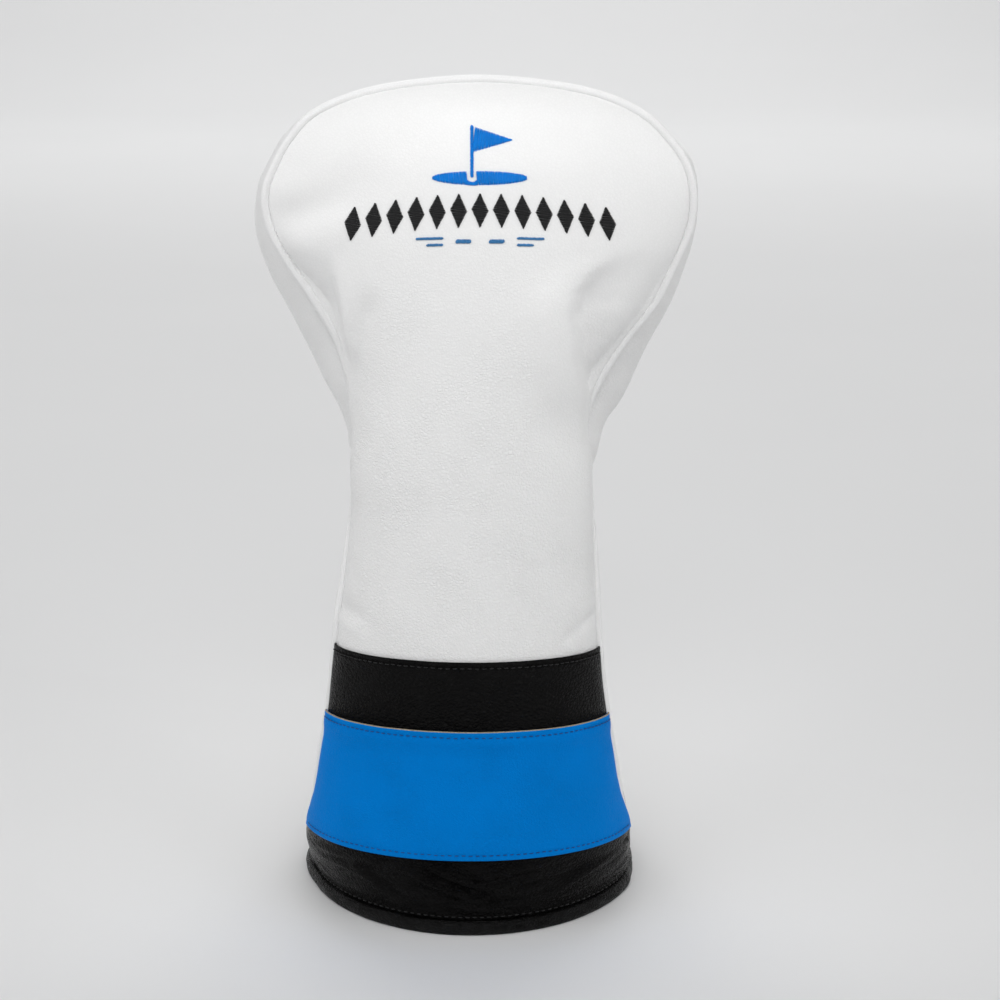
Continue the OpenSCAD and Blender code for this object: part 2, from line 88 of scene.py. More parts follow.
FRONT = controls(3, 1.0, float, TOP[2])
BACK = controls(8, 0.97, back_z, TOP[3])
SWELL = np.array(list(ROWS[:, 6]) + [TOP[4]] + list(ROWS[::-1, 7]), float)
FRONT_MID = np.append(ROWS[:, 4] + CY, TOP[2] + CY)
BACK_MID = np.append(ROWS[:, 9] + CY, TOP[3] + CY)
SPREAD = np.append(ROWS[:, 5], 70.0)
ROW_Z = np.append(ROWS[:, 0], TOP[0])


def at(L, t):
    t = np.asarray(t, float)
    n = len(L) - 1
    i = np.clip(np.floor(t), 0, n - 1).astype(int)
    f = t - i
    if L.ndim == 2:
        f = f[..., None]
    p0, p1 = L[np.maximum(i - 1, 0)], L[i]
    p2, p3 = L[i + 1], L[np.minimum(i + 2, n)]
    return 0.5 * (2 * p1 + (p2 - p0) * f + (2 * p0 - 5 * p1 + 4 * p2 - p3) * f * f
                  + (3 * p1 - p0 - 3 * p2 + p3) * f ** 3)


def unit(v):
    return v / np.maximum(np.linalg.norm(v, axis=-1, keepdims=True), 1e-12)


def row(z):
    return np.interp(z, ROW_Z, np.arange(NR + 1.0))


def seam_out(L, s):
    a, b = at(L, np.maximum(s - 0.1, 0)), at(L, np.minimum(s + 0.1, 2 * NR))
    d = b - a
    k = np.clip((a[..., 2] - 6) / 60, 0, 1)
    return unit(np.stack([-d[..., 2], 0 * k, d[..., 0] * k], -1))


def slope(L, mids, side, r):
    l, g, q = at(L, r), at(L, 2 * NR - r), np.radians(at(SPREAD, r))
    top = np.clip((r - 18) / 4, 0, 1)[..., None]
    b = side * (l[..., 1] + g[..., 1]) / 2 - side * at(mids, r)
    v = unit(np.stack([np.maximum((g[..., 0] - l[..., 0]) / 2, 60) * np.cos(q) / np.sin(q),
                       b * np.sin(q) / (1 - np.cos(q))], -1))
    return unit(v * (1 - top) + 0.7 * top)


def edge(L, mids, side, s, inset):
    v = slope(L, mids, side, np.minimum(s, 2 * NR - s))
    back = np.zeros(v.shape[:-1] + (3,))
    back[..., 1] = side * v[..., 1]
    return at(L, s) - inset * (v[..., :1] * seam_out(L, s) + back)


# The panels' edges tuck in under the piping
GAP = 0.7


def panel_pt(L, mids, side, r, u, inset=GAP):
    r, u = np.broadcast_arrays(np.asarray(r, float), np.asarray(u, float))
    l, g = edge(L, mids, side, r, inset), edge(L, mids, side, 2 * NR - r, inset)
    m, h = (l + g) / 2, (g - l) / 2
    q = np.radians(at(SPREAD, np.minimum(r, NR)))
    b = side * (m[..., 1] - at(mids, r))
    p = m + h * (np.sin(u * q) / np.sin(q))[..., None]
    p[..., 1] -= side * b * (np.cos(u * q) - np.cos(q)) / (1 - np.cos(q))
    return p


def front_pt(r, u):
    return panel_pt(FRONT, FRONT_MID, 1, r, u)


def back_pt(r, u):
    return panel_pt(BACK, BACK_MID, -1, r, u)


def gusset_pt(s, t, trim=GAP):
    s, t = np.broadcast_arrays(np.asarray(s, float), np.asarray(t, float))
    a, b = at(FRONT, s), at(BACK, s)
    w = np.linalg.norm(b - a, axis=-1)
    c = trim / w
    k = c + t * (1 - 2 * c)
    return a + (b - a) * k[..., None] + seam_out(FRONT, s) * (at(SWELL, s) * 4 * k * (1 - k) - 0.6)[..., None]


def front_n(r, u):
    return unit(np.cross(front_pt(r, u + 0.03) - front_pt(r, u - 0.03),
                         front_pt(r + 0.05, u) - front_pt(r - 0.05, u)))


def back_n(r, u):
    return unit(np.cross(back_pt(r + 0.05, u) - back_pt(r - 0.05, u),
                         back_pt(r, u + 0.03) - back_pt(r, u - 0.03)))


def gusset_n(s, t):
    return unit(np.cross(gusset_pt(np.minimum(s + 0.1, 2 * NR), t) - gusset_pt(np.maximum(s - 0.1, 0), t),
                         gusset_pt(s, t + 0.05) - gusset_pt(s, t - 0.05)))


# ------------------------------------------------------------------- noise
def vnoise(x, y, seed=0):
    """Smooth value noise from -1 to 1, one cell to a unit."""
    x, y = np.broadcast_arrays(np.asarray(x, float), np.asarray(y, float))
    xi, yi = np.floor(x).astype(np.int64), np.floor(y).astype(np.int64)
    fx, fy = x - xi, y - yi
    fx, fy = fx ** 3 * (fx * (fx * 6 - 15) + 10), fy ** 3 * (fy * (fy * 6 - 15) + 10)

    def h(a, b):
        n = (a * 374761393 + b * 668265263 + seed * 1274126177) & 0xFFFFFFFF
        n = ((n ^ (n >> 13)) * 1103515245) & 0xFFFFFFFF
        n = ((n ^ (n >> 15)) * 668265263) & 0xFFFFFFFF
        return ((n ^ (n >> 16)) & 0xFFFF) / 32767.5 - 1

    return ((h(xi, yi) * (1 - fx) + h(xi + 1, yi) * fx) * (1 - fy)
            + (h(xi, yi + 1) * (1 - fx) + h(xi + 1, yi + 1) * fx) * fy)


def fbm(x, y, seed=0, octaves=3):
    return sum(vnoise(x * 2 ** i, y * 2 ** i, seed + i) * 0.5 ** i for i in range(octaves)) / 1.75


def sm(x, a, b):
    t = np.clip((x - a) / (b - a), 0, 1)
    return t * t * (3 - 2 * t)


def bell(x, w):
    return np.exp(-(x / w) ** 2)


def from_line(x, z, x0, z0, x1, z1):
    """How far along a line from 0 to 1, and how far above it in mm."""
    dx, dz = x1 - x0, z1 - z0
    n = math.hypot(dx, dz)
    return ((x - x0) * dx + (z - z0) * dz) / n / n, ((z - z0) * dx - (x - x0) * dz) / n


# ---------------------------------------------- dents, folds and seam puckers
def half_arc(L, r):
    l, g, q = at(L, r), at(L, 2 * NR - r), np.radians(at(SPREAD, np.minimum(r, NR)))
    return np.linalg.norm(g - l, axis=-1) / 2 * q / np.sin(q)


def front_d(r, u):
    """How far the front leather stands proud of the plain shape, in mm."""
    r, u = np.broadcast_arrays(np.asarray(r, float), np.asarray(u, float))
    p = front_pt(r, u)
    x, z = p[..., 0], p[..., 2]
    es = (1 - np.abs(u)) * half_arc(FRONT, r)
    es = np.minimum(es, (338 - z) * 1.0 + 0.6)
    pin = 1 - bell(es, 5.0)
    up = sm(z, 34, 60)
    # light diagonal drag lines on the neck
    neck = sm(z, 108, 125) * (1 - sm(z, 215, 245))
    d = 0.30 * fbm(x / 30 + 3, z / 36, 11) * pin * (1 - 0.6 * neck)
    d += 0.06 * vnoise((x + 0.5 * z) / 9, z / 26, 21) * pin * neck
    d += 0.06 * vnoise((x - 0.5 * z) / 9, z / 26, 22) * pin * neck
    # the leather rolls down into the seam, and puckers a little along it
    roll = 1 - 0.82 * sm(z, 288, 314)
    d -= roll * (0.60 * bell(es, 2.2) + 0.30 * bell(es, 5.0))
    along = np.where(u < 0, 0, 400) + np.where(z > 325, x, z)
    amp = 0.10 + 0.22 * neck + 0.10 * sm(z, 225, 240) * (1 - sm(z, 265, 280))
    d += amp * vnoise(along / 5.5, u * 0 + 0.5, 31) * np.exp(-es / 6.0) * (1 - bell(es, 1.2))
    # long soft dent from the left seam up towards the middle
    t, h = from_line(x, z, -74, 286, -32, 303)
    w = 6.0 + 3.0 * np.clip(t, 0, 1)
    d -= 2.1 * np.exp(-((h / w) ** 2)) * sm(t, -0.2, 0.15) * (1 - sm(t, 0.5, 1.15)) * pin
    d += 0.7 * bell(h + 12, 6.5) * sm(t, -0.2, 0.1) * (1 - sm(t, 0.3, 0.8)) * pin
    # hollow between the left seam and the neck, where the head narrows
    xe = np.interp(z, [225, 240, 262, 275], [-49, -52, -53.5, -55])
    m = sm(z, 224, 240) * (1 - sm(z, 250, 277))
    d -= 4.0 * m * sm(xe - x, -2.5, 3.5) * (1 - bell(es, 3.0))
    d += 1.1 * m * bell(xe - x + 4.0, 4.0)
    # shallow fold just right of that edge
    t, h = from_line(x, z, -41, 254, -47.5, 208)
    d -= 1.6 * bell(h, 4.2) * sm(t, -0.2, 0.12) * (1 - sm(t, 0.5, 1.2))
    # big hollow between the right seam and the neck
    xe = np.interp(z, [205, 216, 231, 250, 259, 266, 272, 280], [43, 42, 38.5, 36.5, 38.5, 43, 50, 60])
    m = sm(z, 203, 224) * (1 - sm(z, 252, 276))
    t = x - xe
    d -= 5.4 * m * sm(t, -3, 7) * (1 - 0.55 * sm(t, 7, 24)) * (1 - bell(es, 6.0))
    d += 1.6 * m * bell(t + 8, 9)
    # the neck's left edge swells over its seam
    d += 1.5 * sm(z, 196, 212) * (1 - sm(z, 238, 250)) * bell(es - 7, 6) * (u < 0)
    # small folds just above the bands
    t, h = from_line(x, z, -57, 130, -42, 126)
    d -= 0.95 * bell(h, 3.4) * sm(t, -0.3, 0.1) * (1 - sm(t, 0.5, 1.1)) * pin
    d += 0.60 * bell(h + 6, 3.2) * sm(t, -0.3, 0.1) * (1 - sm(t, 0.5, 1.1)) * pin
    t, h = from_line(x, z, 36, 119, 50, 127)
    d -= 0.8 * bell(h, 2.2) * sm(t, -0.2, 0.2) * (1 - sm(t, 0.7, 1.2)) * pin
    # calmer under the embroidery, and flat under the cuff
    em = bell((x - 1) / 50, 1) * bell((z - 296) / 16, 1)
    d = d * (1 - 0.6 * em)
    return d * up - 0.0 * z


def back_d(r, u):
    r, u = np.broadcast_arrays(np.asarray(r, float), np.asarray(u, float))
    p = back_pt(r, u)
    x, z = p[..., 0], p[..., 2]
    es = (1 - np.abs(u)) * half_arc(BACK, r)
    es = np.minimum(es, (back_z(338.0) - z) * 1.0 + 0.6)
    pin = 1 - bell(es, 4.0)
    up = sm(z, 34, 60)
    d = 0.35 * fbm(x / 30 + 9, z / 36, 41) * pin
    d -= 0.60 * bell(es, 2.2) + 0.30 * bell(es, 5.0)
    along = np.where(u < 0, 0, 400) + np.where(z > 290, x, z)
    d += 0.22 * vnoise(along / 5.5, u * 0 + 0.5, 51) * np.exp(-es / 6.0) * (1 - bell(es, 1.2))
    # upright gathers where the elastic draws the neck in
    g = 1.9 * bell(z - 176, 18) + 0.8 * bell(z - 176, 44)
    wave = vnoise(x / 4.2 + 0.25 * vnoise(x / 20, z / 14, 5), z / 70, 61) + 0.5 * vnoise(x / 2.6, z / 45, 62)
    d += g * (0.85 * wave - 0.35) * pin
    # a broad hollow each side under the head
    for s, sx in ((-1, -46), (1, 46)):
        t, h = from_line(x, z, sx, 250, sx * 0.92, 205)
        d -= 2.2 * bell(h, 9) * sm(t, -0.3, 0.3) * (1 - sm(t, 0.7, 1.3)) * pin
    return d * up


def gusset_d(s, t):
    s, t = np.broadcast_arrays(np.asarray(s, float), np.asarray(t, float))
    p = gusset_pt(s, t)
    z = p[..., 2]
    side = np.where(s > NR, 1.0, -1.0)
    w = np.linalg.norm(at(BACK, s) - at(FRONT, s), axis=-1)
    es = (0.5 - np.abs(t - 0.5)) * w
    pin = 1 - bell(es, 4.0)
    head = sm(z, 200, 225) * (1 - sm(z, 298, 316))
    d = -(0.50 + 0.45 * head) * bell(es, 2.3) - 0.35 * bell(es, 4.6)
    up = sm(z, 34, 60)
    # long soft folds running with the seam, and cross folds at the neck
    d += 0.7 * vnoise(s / 2.6 + 7, t * 4.2 + 0.2 * side, 71) * pin * (0.4 + 0.6 * sm(z, 190, 230)) * (1 - 0.6 * sm(z, 290, 320))
    g = bell(z - 176, 30)
    d += g * (0.7 * vnoise(z / 7.5 + 0.8 * vnoise(t * 3, z / 30, 9), t * 1.6 + side, 81) - 0.3) * pin
    d += 0.25 * vnoise(z / 6, t * 0 + side, 91) * np.exp(-es / 6) * (1 - bell(es, 1.2))
    return d * up


def surface(pt, nf, df):
    def pos(a, b, off=0.0):
        a, b = np.broadcast_arrays(np.asarray(a, float), np.asarray(b, float))
        return pt(a, b) + nf(a, b) * (df(a, b) + off)[..., None]
    return pos


front_s = surface(front_pt, front_n, front_d)
back_s = surface(back_pt, back_n, back_d)
gusset_s = surface(gusset_pt, gusset_n, gusset_d)


def front_frame(r, u, off=0.0):
    """Point on the front leather and its true outward normal."""
    e, f = 0.006, 0.02
    p = front_s(r, u)
    n = unit(np.cross(front_s(r, u + e) - front_s(r, u - e), front_s(r + f, u) - front_s(r - f, u)))
    return p + n * np.asarray(off)[..., None] if np.ndim(off) else p + n * off, n


# ------------------------------------------------------------- mesh helpers
def grid_faces(nr, nc, off=0, loop_c=False, loop_r=False, flip=False):
    r = np.arange(nr if loop_r else nr - 1)
    c = np.arange(nc if loop_c else nc - 1)
    R, C = np.meshgrid(r, c, indexing="ij")
    R2, C2 = (R + 1) % nr, (C + 1) % nc
    f = np.stack([R * nc + C, R2 * nc + C, R2 * nc + C2, R * nc + C2], -1).reshape(-1, 4) + off
    return f[:, ::-1] if flip else f


def volume(v, faces):
    total = 0.0
    for k in set(len(f) for f in faces):
        f = np.array([x for x in faces if len(x) == k])
        for i in range(1, k - 1):
            a, b, c = v[f[:, 0]], v[f[:, i]], v[f[:, i + 1]]
            total += np.einsum("ij,ij->i", a, np.cross(b, c)).sum() / 6
    return total


def make(name, verts, faces, mat, replaces=()):
    v = np.asarray(verts, float).reshape(-1, 3) * MM
    faces = [list(map(int, f)) for f in faces]
    if volume(v, faces) < 0:
        faces = [f[::-1] for f in faces]
    me = bpy.data.meshes.new(name)
    me.from_pydata(v.tolist(), [], faces)
    me.update()
    me.polygons.foreach_set("use_smooth", [True] * len(me.polygons))
    me.materials.append(mat)
    o = bpy.data.objects.new(name, me)
    scene.collection.objects.link(o)
    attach(o, "root")
    if replaces:
        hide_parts(*replaces)
    return o


def sheet_mesh(name, O, I, mat, replaces=(), loop=False):
    """Closed solid between an outer and an inner grid."""
    nr, nc = O.shape[:2]
    n = nr * nc
    f = [grid_faces(nr, nc, 0, loop), grid_faces(nr, nc, n, loop, flip=True)]
    c = np.arange(nc if loop else nc - 1)
    c2 = (c + 1) % nc
    f.append(np.stack([c, c2, n + c2, n + c], -1))
    b = (nr - 1) * nc
    f.append(np.stack([b + c2, b + c, n + b + c, n + b + c2], -1))
    if not loop:
        r = np.arange(nr - 1) * nc
        f.append(np.stack([r + nc, r, n + r, n + r + nc], -1))
        r = r + nc - 1
        f.append(np.stack([r, r + nc, n + r + nc, n + r], -1))
    f = np.concatenate(f)
    return make(name, np.concatenate([O.reshape(-1, 3), I.reshape(-1, 3)]), f.tolist(), mat, replaces)


def loft_mesh(name, P, mat, replaces=(), loop=False):
    """Closed profile (first axis) swept along the second axis."""
    nr, nc = P.shape[:2]
    f = grid_faces(nr, nc, 0, loop, True).tolist()
    if not loop:
        r = np.arange(nr) * nc
        f.append(r.tolist())
        f.append((r + nc - 1)[::-1].tolist())
    return make(name, P, f, mat, replaces)


def threads_mesh(name, paths, normals, wide, high, mat, replaces=(), sides=8, taper=0.35, extra=None):
    """Many short threads: paths (n, k, 3) with normals of the same shape."""
    paths, normals = np.asarray(paths, float), np.asarray(normals, float)
    n, k = paths.shape[:2]
    T = unit(np.gradient(paths, axis=1))
    B = unit(np.cross(T, normals))
    N = np.cross(B, T)
    w = np.ones(k)
    w[0] = w[-1] = taper
    if k > 4:
        w[1] = w[-2] = 0.85
    a = np.arange(sides) * 2 * np.pi / sides
    ring = (wide * np.cos(a))[None, None, :, None] * B[:, :, None] + (high * np.sin(a))[None, None, :, None] * N[:, :, None]
    v = paths[:, :, None] + ring * w[None, :, None, None]
    v = v.reshape(-1, 3)
    base = grid_faces(k, sides, 0, True)
    caps = [list(range(sides)), list(range((k - 1) * sides, k * sides))[::-1]]
    quads = (base[None] + (np.arange(n) * k * sides)[:, None, None]).reshape(-1, 4).tolist()
    for i in range(n):
        o = i * k * sides
        quads += [[o + x for x in reversed(caps[0])], [o + x for x in reversed(caps[1])]]
    if extra is not None:
        ev, ef = extra
        off = len(v)
        v = np.concatenate([v, ev])
        quads += [[off + x for x in f] for f in ef]
    return make(name, v, quads, mat, replaces)


# ---------------------------------------------------------------- materials
def srgb(r, g, b):
    return tuple(((c / 255) / 12.92 if c / 255 <= 0.04045 else ((c / 255 + 0.055) / 1.055) ** 2.4) for c in (r, g, b))


class Mat:
    def __init__(self, name):
        self.m = bpy.data.materials.new(name)
        self.m.use_nodes = True
        self.t = self.m.node_tree
        self.t.nodes.clear()
        self.out = self.n("ShaderNodeOutputMaterial")
        self.b = self.n("ShaderNodeBsdfPrincipled")
        self.l(self.b.outputs["BSDF"], self.out.inputs["Surface"])
        self.tc = self.n("ShaderNodeTexCoord").outputs["Object"]
        self.normal = None

    def n(self, kind, **kw):
        x = self.t.nodes.new(kind)
        for k, v in kw.items():
            setattr(x, k, v)
        return x

    def l(self, a, b):
        self.t.links.new(a, b)

    def put(self, node, **kw):
        for k, v in kw.items():
            s = node.inputs[k.replace("_", " ")]
            if hasattr(v, "links") or isinstance(v, bpy.types.NodeSocket):
                self.l(v, s)
            else:
                s.default_value = v
        return node

    def stretch(self, sx, sy, sz, rot=(0, 0, 0)):
        m = self.n("ShaderNodeMapping")
        self.l(self.tc, m.inputs["Vector"])
        m.inputs["Scale"].default_value = (sx, sy, sz)
        m.inputs["Rotation"].default_value = rot
        return m.outputs["Vector"]

    def noise(self, scale, detail=2.0, rough=0.5, vec=None, distortion=0.0):
        x = self.n("ShaderNodeTexNoise")
        self.l(vec or self.tc, x.inputs["Vector"])
        x.inputs["Scale"].default_value = scale
        x.inputs["Detail"].default_value = detail
        x.inputs["Roughness"].default_value = rough
        x.inputs["Distortion"].default_value = distortion
        return x.outputs["Fac"]

    def voronoi(self, scale, feature="F1", vec=None, randomness=1.0):
        x = self.n("ShaderNodeTexVoronoi", feature=feature)
        self.l(vec or self.tc, x.inputs["Vector"])
        x.inputs["Scale"].default_value = scale
        x.inputs["Randomness"].default_value = randomness
        return x.outputs["Distance"]

    def warp(self, scale, amount):
        """Object coordinates pushed about by a noise, so that cells aren't round."""
        x = self.n("ShaderNodeTexNoise")
        self.l(self.tc, x.inputs["Vector"])
        x.inputs["Scale"].default_value = scale
        x.inputs["Detail"].default_value = 1.0
        sub = self.n("ShaderNodeVectorMath", operation="SUBTRACT")
        self.l(x.outputs["Color"], sub.inputs[0])
        sub.inputs[1].default_value = (0.5, 0.5, 0.5)
        mul = self.n("ShaderNodeVectorMath", operation="SCALE")
        self.l(sub.outputs[0], mul.inputs[0])
        mul.inputs["Scale"].default_value = amount
        add = self.n("ShaderNodeVectorMath", operation="ADD")
        self.l(self.tc, add.inputs[0])
        self.l(mul.outputs[0], add.inputs[1])
        return add.outputs[0]

    def ramp(self, fac, a, b, ca, cb):
        x = self.n("ShaderNodeValToRGB")
        self.l(fac, x.inputs["Fac"])
        x.color_ramp.elements[0].position, x.color_ramp.elements[1].position = a, b
        x.color_ramp.elements[0].color = (*ca, 1)
        x.color_ramp.elements[1].color = (*cb, 1)
        return x.outputs["Color"]

    def range(self, fac, a, b, c, d):
        x = self.n("ShaderNodeMapRange")
        self.l(fac, x.inputs["Value"])
        for k, v in zip(("From Min", "From Max", "To Min", "To Max"), (a, b, c, d)):
            x.inputs[k].default_value = v
        return x.outputs["Result"]

    def math(self, op, a, b=0.0):
        x = self.n("ShaderNodeMath", operation=op)
        for i, v in enumerate((a, b)):
            if isinstance(v, bpy.types.NodeSocket):
                self.l(v, x.inputs[i])
            else:
                x.inputs[i].default_value = v
        return x.outputs[0]

    def mul_color(self, a, b, fac=1.0):
        x = self.n("ShaderNodeMix", data_type="RGBA", blend_type="MULTIPLY")
        x.inputs["Factor"].default_value = fac
        for s, v in ((x.inputs[6], a), (x.inputs[7], b)):
            if isinstance(v, bpy.types.NodeSocket):
                self.l(v, s)
            else:
                s.default_value = (*v, 1)
        return x.outputs[2]

    def bump(self, height, distance, strength=1.0):
        x = self.n("ShaderNodeBump")
        x.inputs["Distance"].default_value = distance
        x.inputs["Strength"].default_value = strength
        self.l(height, x.inputs["Height"])
        if self.normal is not None:
            self.l(self.normal, x.inputs["Normal"])
        self.normal = x.outputs["Normal"]
        return self

    def done(self):
        if self.normal is not None:
            self.l(self.normal, self.b.inputs["Normal"])
        return self.m


def leather(name, light, dark, grain, depth, rough, spec=0.5, coat=0.0, head=1.0, mottle=0.0, vary=0.05, wave=0.35, dome=0.5, patch=0.0):
    """Pebbled coated leather: cells of one size, fine pores, soft mottling.
    head is how deep the grain is where the head stretches the leather flat."""
    m = Mat(name)
    w = m.warp(1.6 / grain, grain * 0.75)
    cells = m.voronoi(1.0 / grain, "SMOOTH_F1", w)
    crease = m.voronoi(1.0 / grain, "DISTANCE_TO_EDGE", w)
    crease = m.range(crease, 0.0, 0.22, 0.0, 1.0)
    big = m.noise(28, 3, 0.55)
    fine = m.noise(3.2 / grain, 2, 0.6)
    col = m.ramp(big, 0.35, 0.65, tuple(c * (1 - mottle) for c in light), light)
    groove = m.ramp(crease, 0.0, 0.9, dark, (1, 1, 1))
    col = m.mul_color(col, groove, 1.0)
    m.l(col, m.b.inputs["Base Color"])
    m.l(m.range(m.noise(90, 2, 0.5), 0.3, 0.7, rough - vary, rough + vary), m.b.inputs["Roughness"])
    m.put(m.b, Specular_IOR_Level=spec, IOR=1.5, Coat_Weight=coat, Coat_Roughness=0.35)
    h = m.math("ADD", m.math("MULTIPLY", crease, 0.7), m.math("MULTIPLY", cells, -dome))
    if patch:
        k = m.range(m.noise(42, 2, 0.5), 0.38, 0.62, 1 - patch, 1 + 0.5 * patch)
        h = m.math("MULTIPLY", h, k)
    if head < 1.0:
        sep = m.n("ShaderNodeSeparateXYZ")
        m.l(m.tc, sep.inputs[0])
        k = m.range(sep.outputs["Z"], 0.20, 0.29, 1.0, head)
        h, fine = m.math("MULTIPLY", h, k), m.math("MULTIPLY", fine, k)
    m.bump(m.noise(170, 3, 0.5), 0.00045, wave)
    m.bump(h, depth, 1.0)
    m.bump(fine, depth * 0.45, 0.8)
    return m.done()


def thread(name, base, light, rough=0.5, spec=0.4):
    m = Mat(name)
    twist = m.n("ShaderNodeTexWave", wave_type="BANDS", bands_direction="DIAGONAL")
    m.l(m.tc, twist.inputs["Vector"])
    m.put(twist, Scale=1400.0, Distortion=1.5, Detail=1.0)
    tw = twist.outputs["Fac"]
    col = m.ramp(tw, 0.1, 0.9, base, light)
    col = m.mul_color(col, m.ramp(m.noise(260, 2, 0.5), 0.3, 0.7, (0.86, 0.86, 0.86), (1, 1, 1)), 1.0)
    m.l(col, m.b.inputs["Base Color"])
    m.l(m.range(tw, 0, 1, rough - 0.06, rough + 0.08), m.b.inputs["Roughness"])
    m.put(m.b, Specular_IOR_Level=spec, Sheen_Weight=0.15, Sheen_Roughness=0.4)
    m.bump(tw, 0.00008, 0.7)
    return m.done()


WHITE = leather("white_leather", (0.862, 0.862, 0.860), (0.972, 0.972, 0.972), 0.0013, 0.00017, 0.40, 0.42, head=0.25, mottle=0.012, wave=0.18, patch=0.25)
WHITE2 = leather("white_piping_leather", (0.865, 0.865, 0.865), (0.96, 0.96, 0.96), 0.0009, 0.00004, 0.42, 0.5, mottle=0.01)
BLACK = leather("black_leather", (0.0030, 0.0028, 0.0028), (0.6, 0.6, 0.6), 0.0014, 0.00075, 0.21, 0.095, mottle=0.25, vary=0.08, wave=0.6, dome=1.25, patch=0.4)
BLUE = leather("blue_leather", (0.0, 0.212, 0.690), (0.93, 0.95, 0.97), 0.0010, 0.00014, 0.36, 0.02, mottle=0.05, dome=0.8, patch=0.4)
HEM = leather("black_hem_leather", (0.0032, 0.0031, 0.0031), (0.6, 0.6, 0.6), 0.0013, 0.00065, 0.22, 0.16, mottle=0.25, vary=0.08, wave=0.6, dome=1.2, patch=0.4)

T_WHITE = thread("white_thread", (0.75, 0.75, 0.75), (0.86, 0.86, 0.86))
T_BLACK = thread("black_thread", (0.006, 0.006, 0.0065), (0.014, 0.014, 0.015), 0.5, 0.25)
T_NAVY = thread("navy_thread", srgb(0, 62, 130), srgb(4, 84, 160), 0.5, 0.2)
T_BLUE = thread("blue_thread", srgb(0, 116, 214), srgb(6, 146, 242), 0.45, 0.15)
T_STEEL = thread("steel_blue_thread", srgb(46, 112, 168), srgb(74, 140, 194), 0.45, 0.25)


def tan_edge_material():
    m = Mat("tan_cut_edge")
    fib = m.noise(1500, 3, 0.6)
    m.l(m.ramp(fib, 0.3, 0.7, srgb(130, 119, 98), srgb(176, 163, 138)), m.b.inputs["Base Color"])
    m.b.inputs["Roughness"].default_value = 0.85
    m.bump(fib, 0.0001, 0.8)
    return m.done()


def cloth_material(name, a, b, scale, rough, kind="noise", sheen=0.3, depth=0.0003):
    m = Mat(name)
    if kind == "noise":
        h = m.noise(scale, 4, 0.65, distortion=0.6)
    elif kind == "cells":
        h = m.voronoi(scale, "F1")
    else:
        x = m.n("ShaderNodeTexWave", wave_type="BANDS", bands_direction=kind)
        m.l(m.tc, x.inputs["Vector"])
        m.put(x, Scale=scale, Distortion=0.6, Detail=1.0)
        h = x.outputs["Fac"]
    col = m.ramp(h, 0.25, 0.75, a, b)
    col = m.mul_color(col, m.ramp(m.noise(40, 2, 0.5), 0.3, 0.7, (0.9, 0.9, 0.9), (1, 1, 1)), 1.0)
    m.l(col, m.b.inputs["Base Color"])
    m.l(m.range(h, 0, 1, rough - 0.05, min(rough + 0.05, 1.0)), m.b.inputs["Roughness"])
    m.put(m.b, Sheen_Weight=sheen, Sheen_Roughness=0.5, Specular_IOR_Level=0.2)
    m.bump(h, depth, 0.8)
    return m.done()


TAN = tan_edge_material()
FLEECE = cloth_material("fleece", (0.028, 0.028, 0.031), (0.075, 0.075, 0.082), 900, 0.92, sheen=0.5, depth=0.0006)
FOAM_M = cloth_material("foam", (0.62, 0.62, 0.60), (0.80, 0.80, 0.78), 1100, 0.9, "cells", sheen=0.0, depth=0.0003)
ELASTIC_M = cloth_material("elastic", (0.66, 0.66, 0.66), (0.84, 0.84, 0.84), 260, 0.75, "Z", sheen=0.2, depth=0.0003)
BACKING_M = cloth_material("backing_cloth", (0.78, 0.78, 0.77), (0.88, 0.88, 0.87), 1400, 0.9, sheen=0.1, depth=0.0001)
CORD_M = cloth_material("cotton_cord", (0.66, 0.64, 0.58), (0.82, 0.80, 0.74), 420, 0.85, "DIAGONAL", sheen=0.2, depth=0.0002)


# ------------------------------------------------------------ leather panels
def fine_rows(per=1.6, top=22.95):
    seam = np.linalg.norm(np.diff(FRONT[:NR + 1], axis=0), axis=1)
    out = [0.05]
    for i in range(NR):
        n = max(4, int(math.ceil(seam[i] / per)))
        out += [i + (j + 1) / n for j in range(n)]
    return np.array([x for x in out if x < top] + [top])


def fine_cols(n, tight=0.35):
    """From -1 to 1, closer together towards the seams."""
    t = np.linspace(-1, 1, n)
    return t * (1 - tight) + np.sin(t * np.pi / 2) * tight


RS = fine_rows()
UF = fine_cols(150)


def grid(pos, a, b, off):
    A, B = np.meshgrid(a, b, indexing="ij")
    return pos(A, B, off)


def true_offset(P, d, flip=False):
    """P moved along the grid's own normals, smoothed a little."""
    dr, dc = np.gradient(P, axis=0), np.gradient(P, axis=1)
    n = unit(np.cross(dc, dr)) * (-1 if flip else 1)
    return P + n * d


front_out = grid(front_s, RS, UF, 0.0)
front_leather = sheet_mesh("front_panel_leather", front_out, grid(front_s, RS, UF, -LEATHER), WHITE, ["front_panel"])
UB = fine_cols(170)
back_out = grid(back_s, RS, UB, 0.0)
back_leather = sheet_mesh("back_panel_leather", back_out, grid(back_s, RS, UB, -LEATHER), WHITE, ["back_panel"])


def gusset_rows(per=1.6, a=0.05):
    seam = np.linalg.norm(np.diff(FRONT, axis=0), axis=1)
    out = [a]
    for i in range(2 * NR):
        n = max(4, int(math.ceil(seam[i] / per)))
        out += [i + (j + 1) / n for j in range(n)]
    return np.array([x for x in out if x < 2 * NR - a] + [2 * NR - a])


SG = gusset_rows()
TG = (fine_cols(56) + 1) / 2
gusset_out = grid(gusset_s, SG, TG, 0.0)
gusset_leather = sheet_mesh("gusset_leather", gusset_out, grid(gusset_s, SG, TG, -LEATHER), WHITE, ["gusset"])


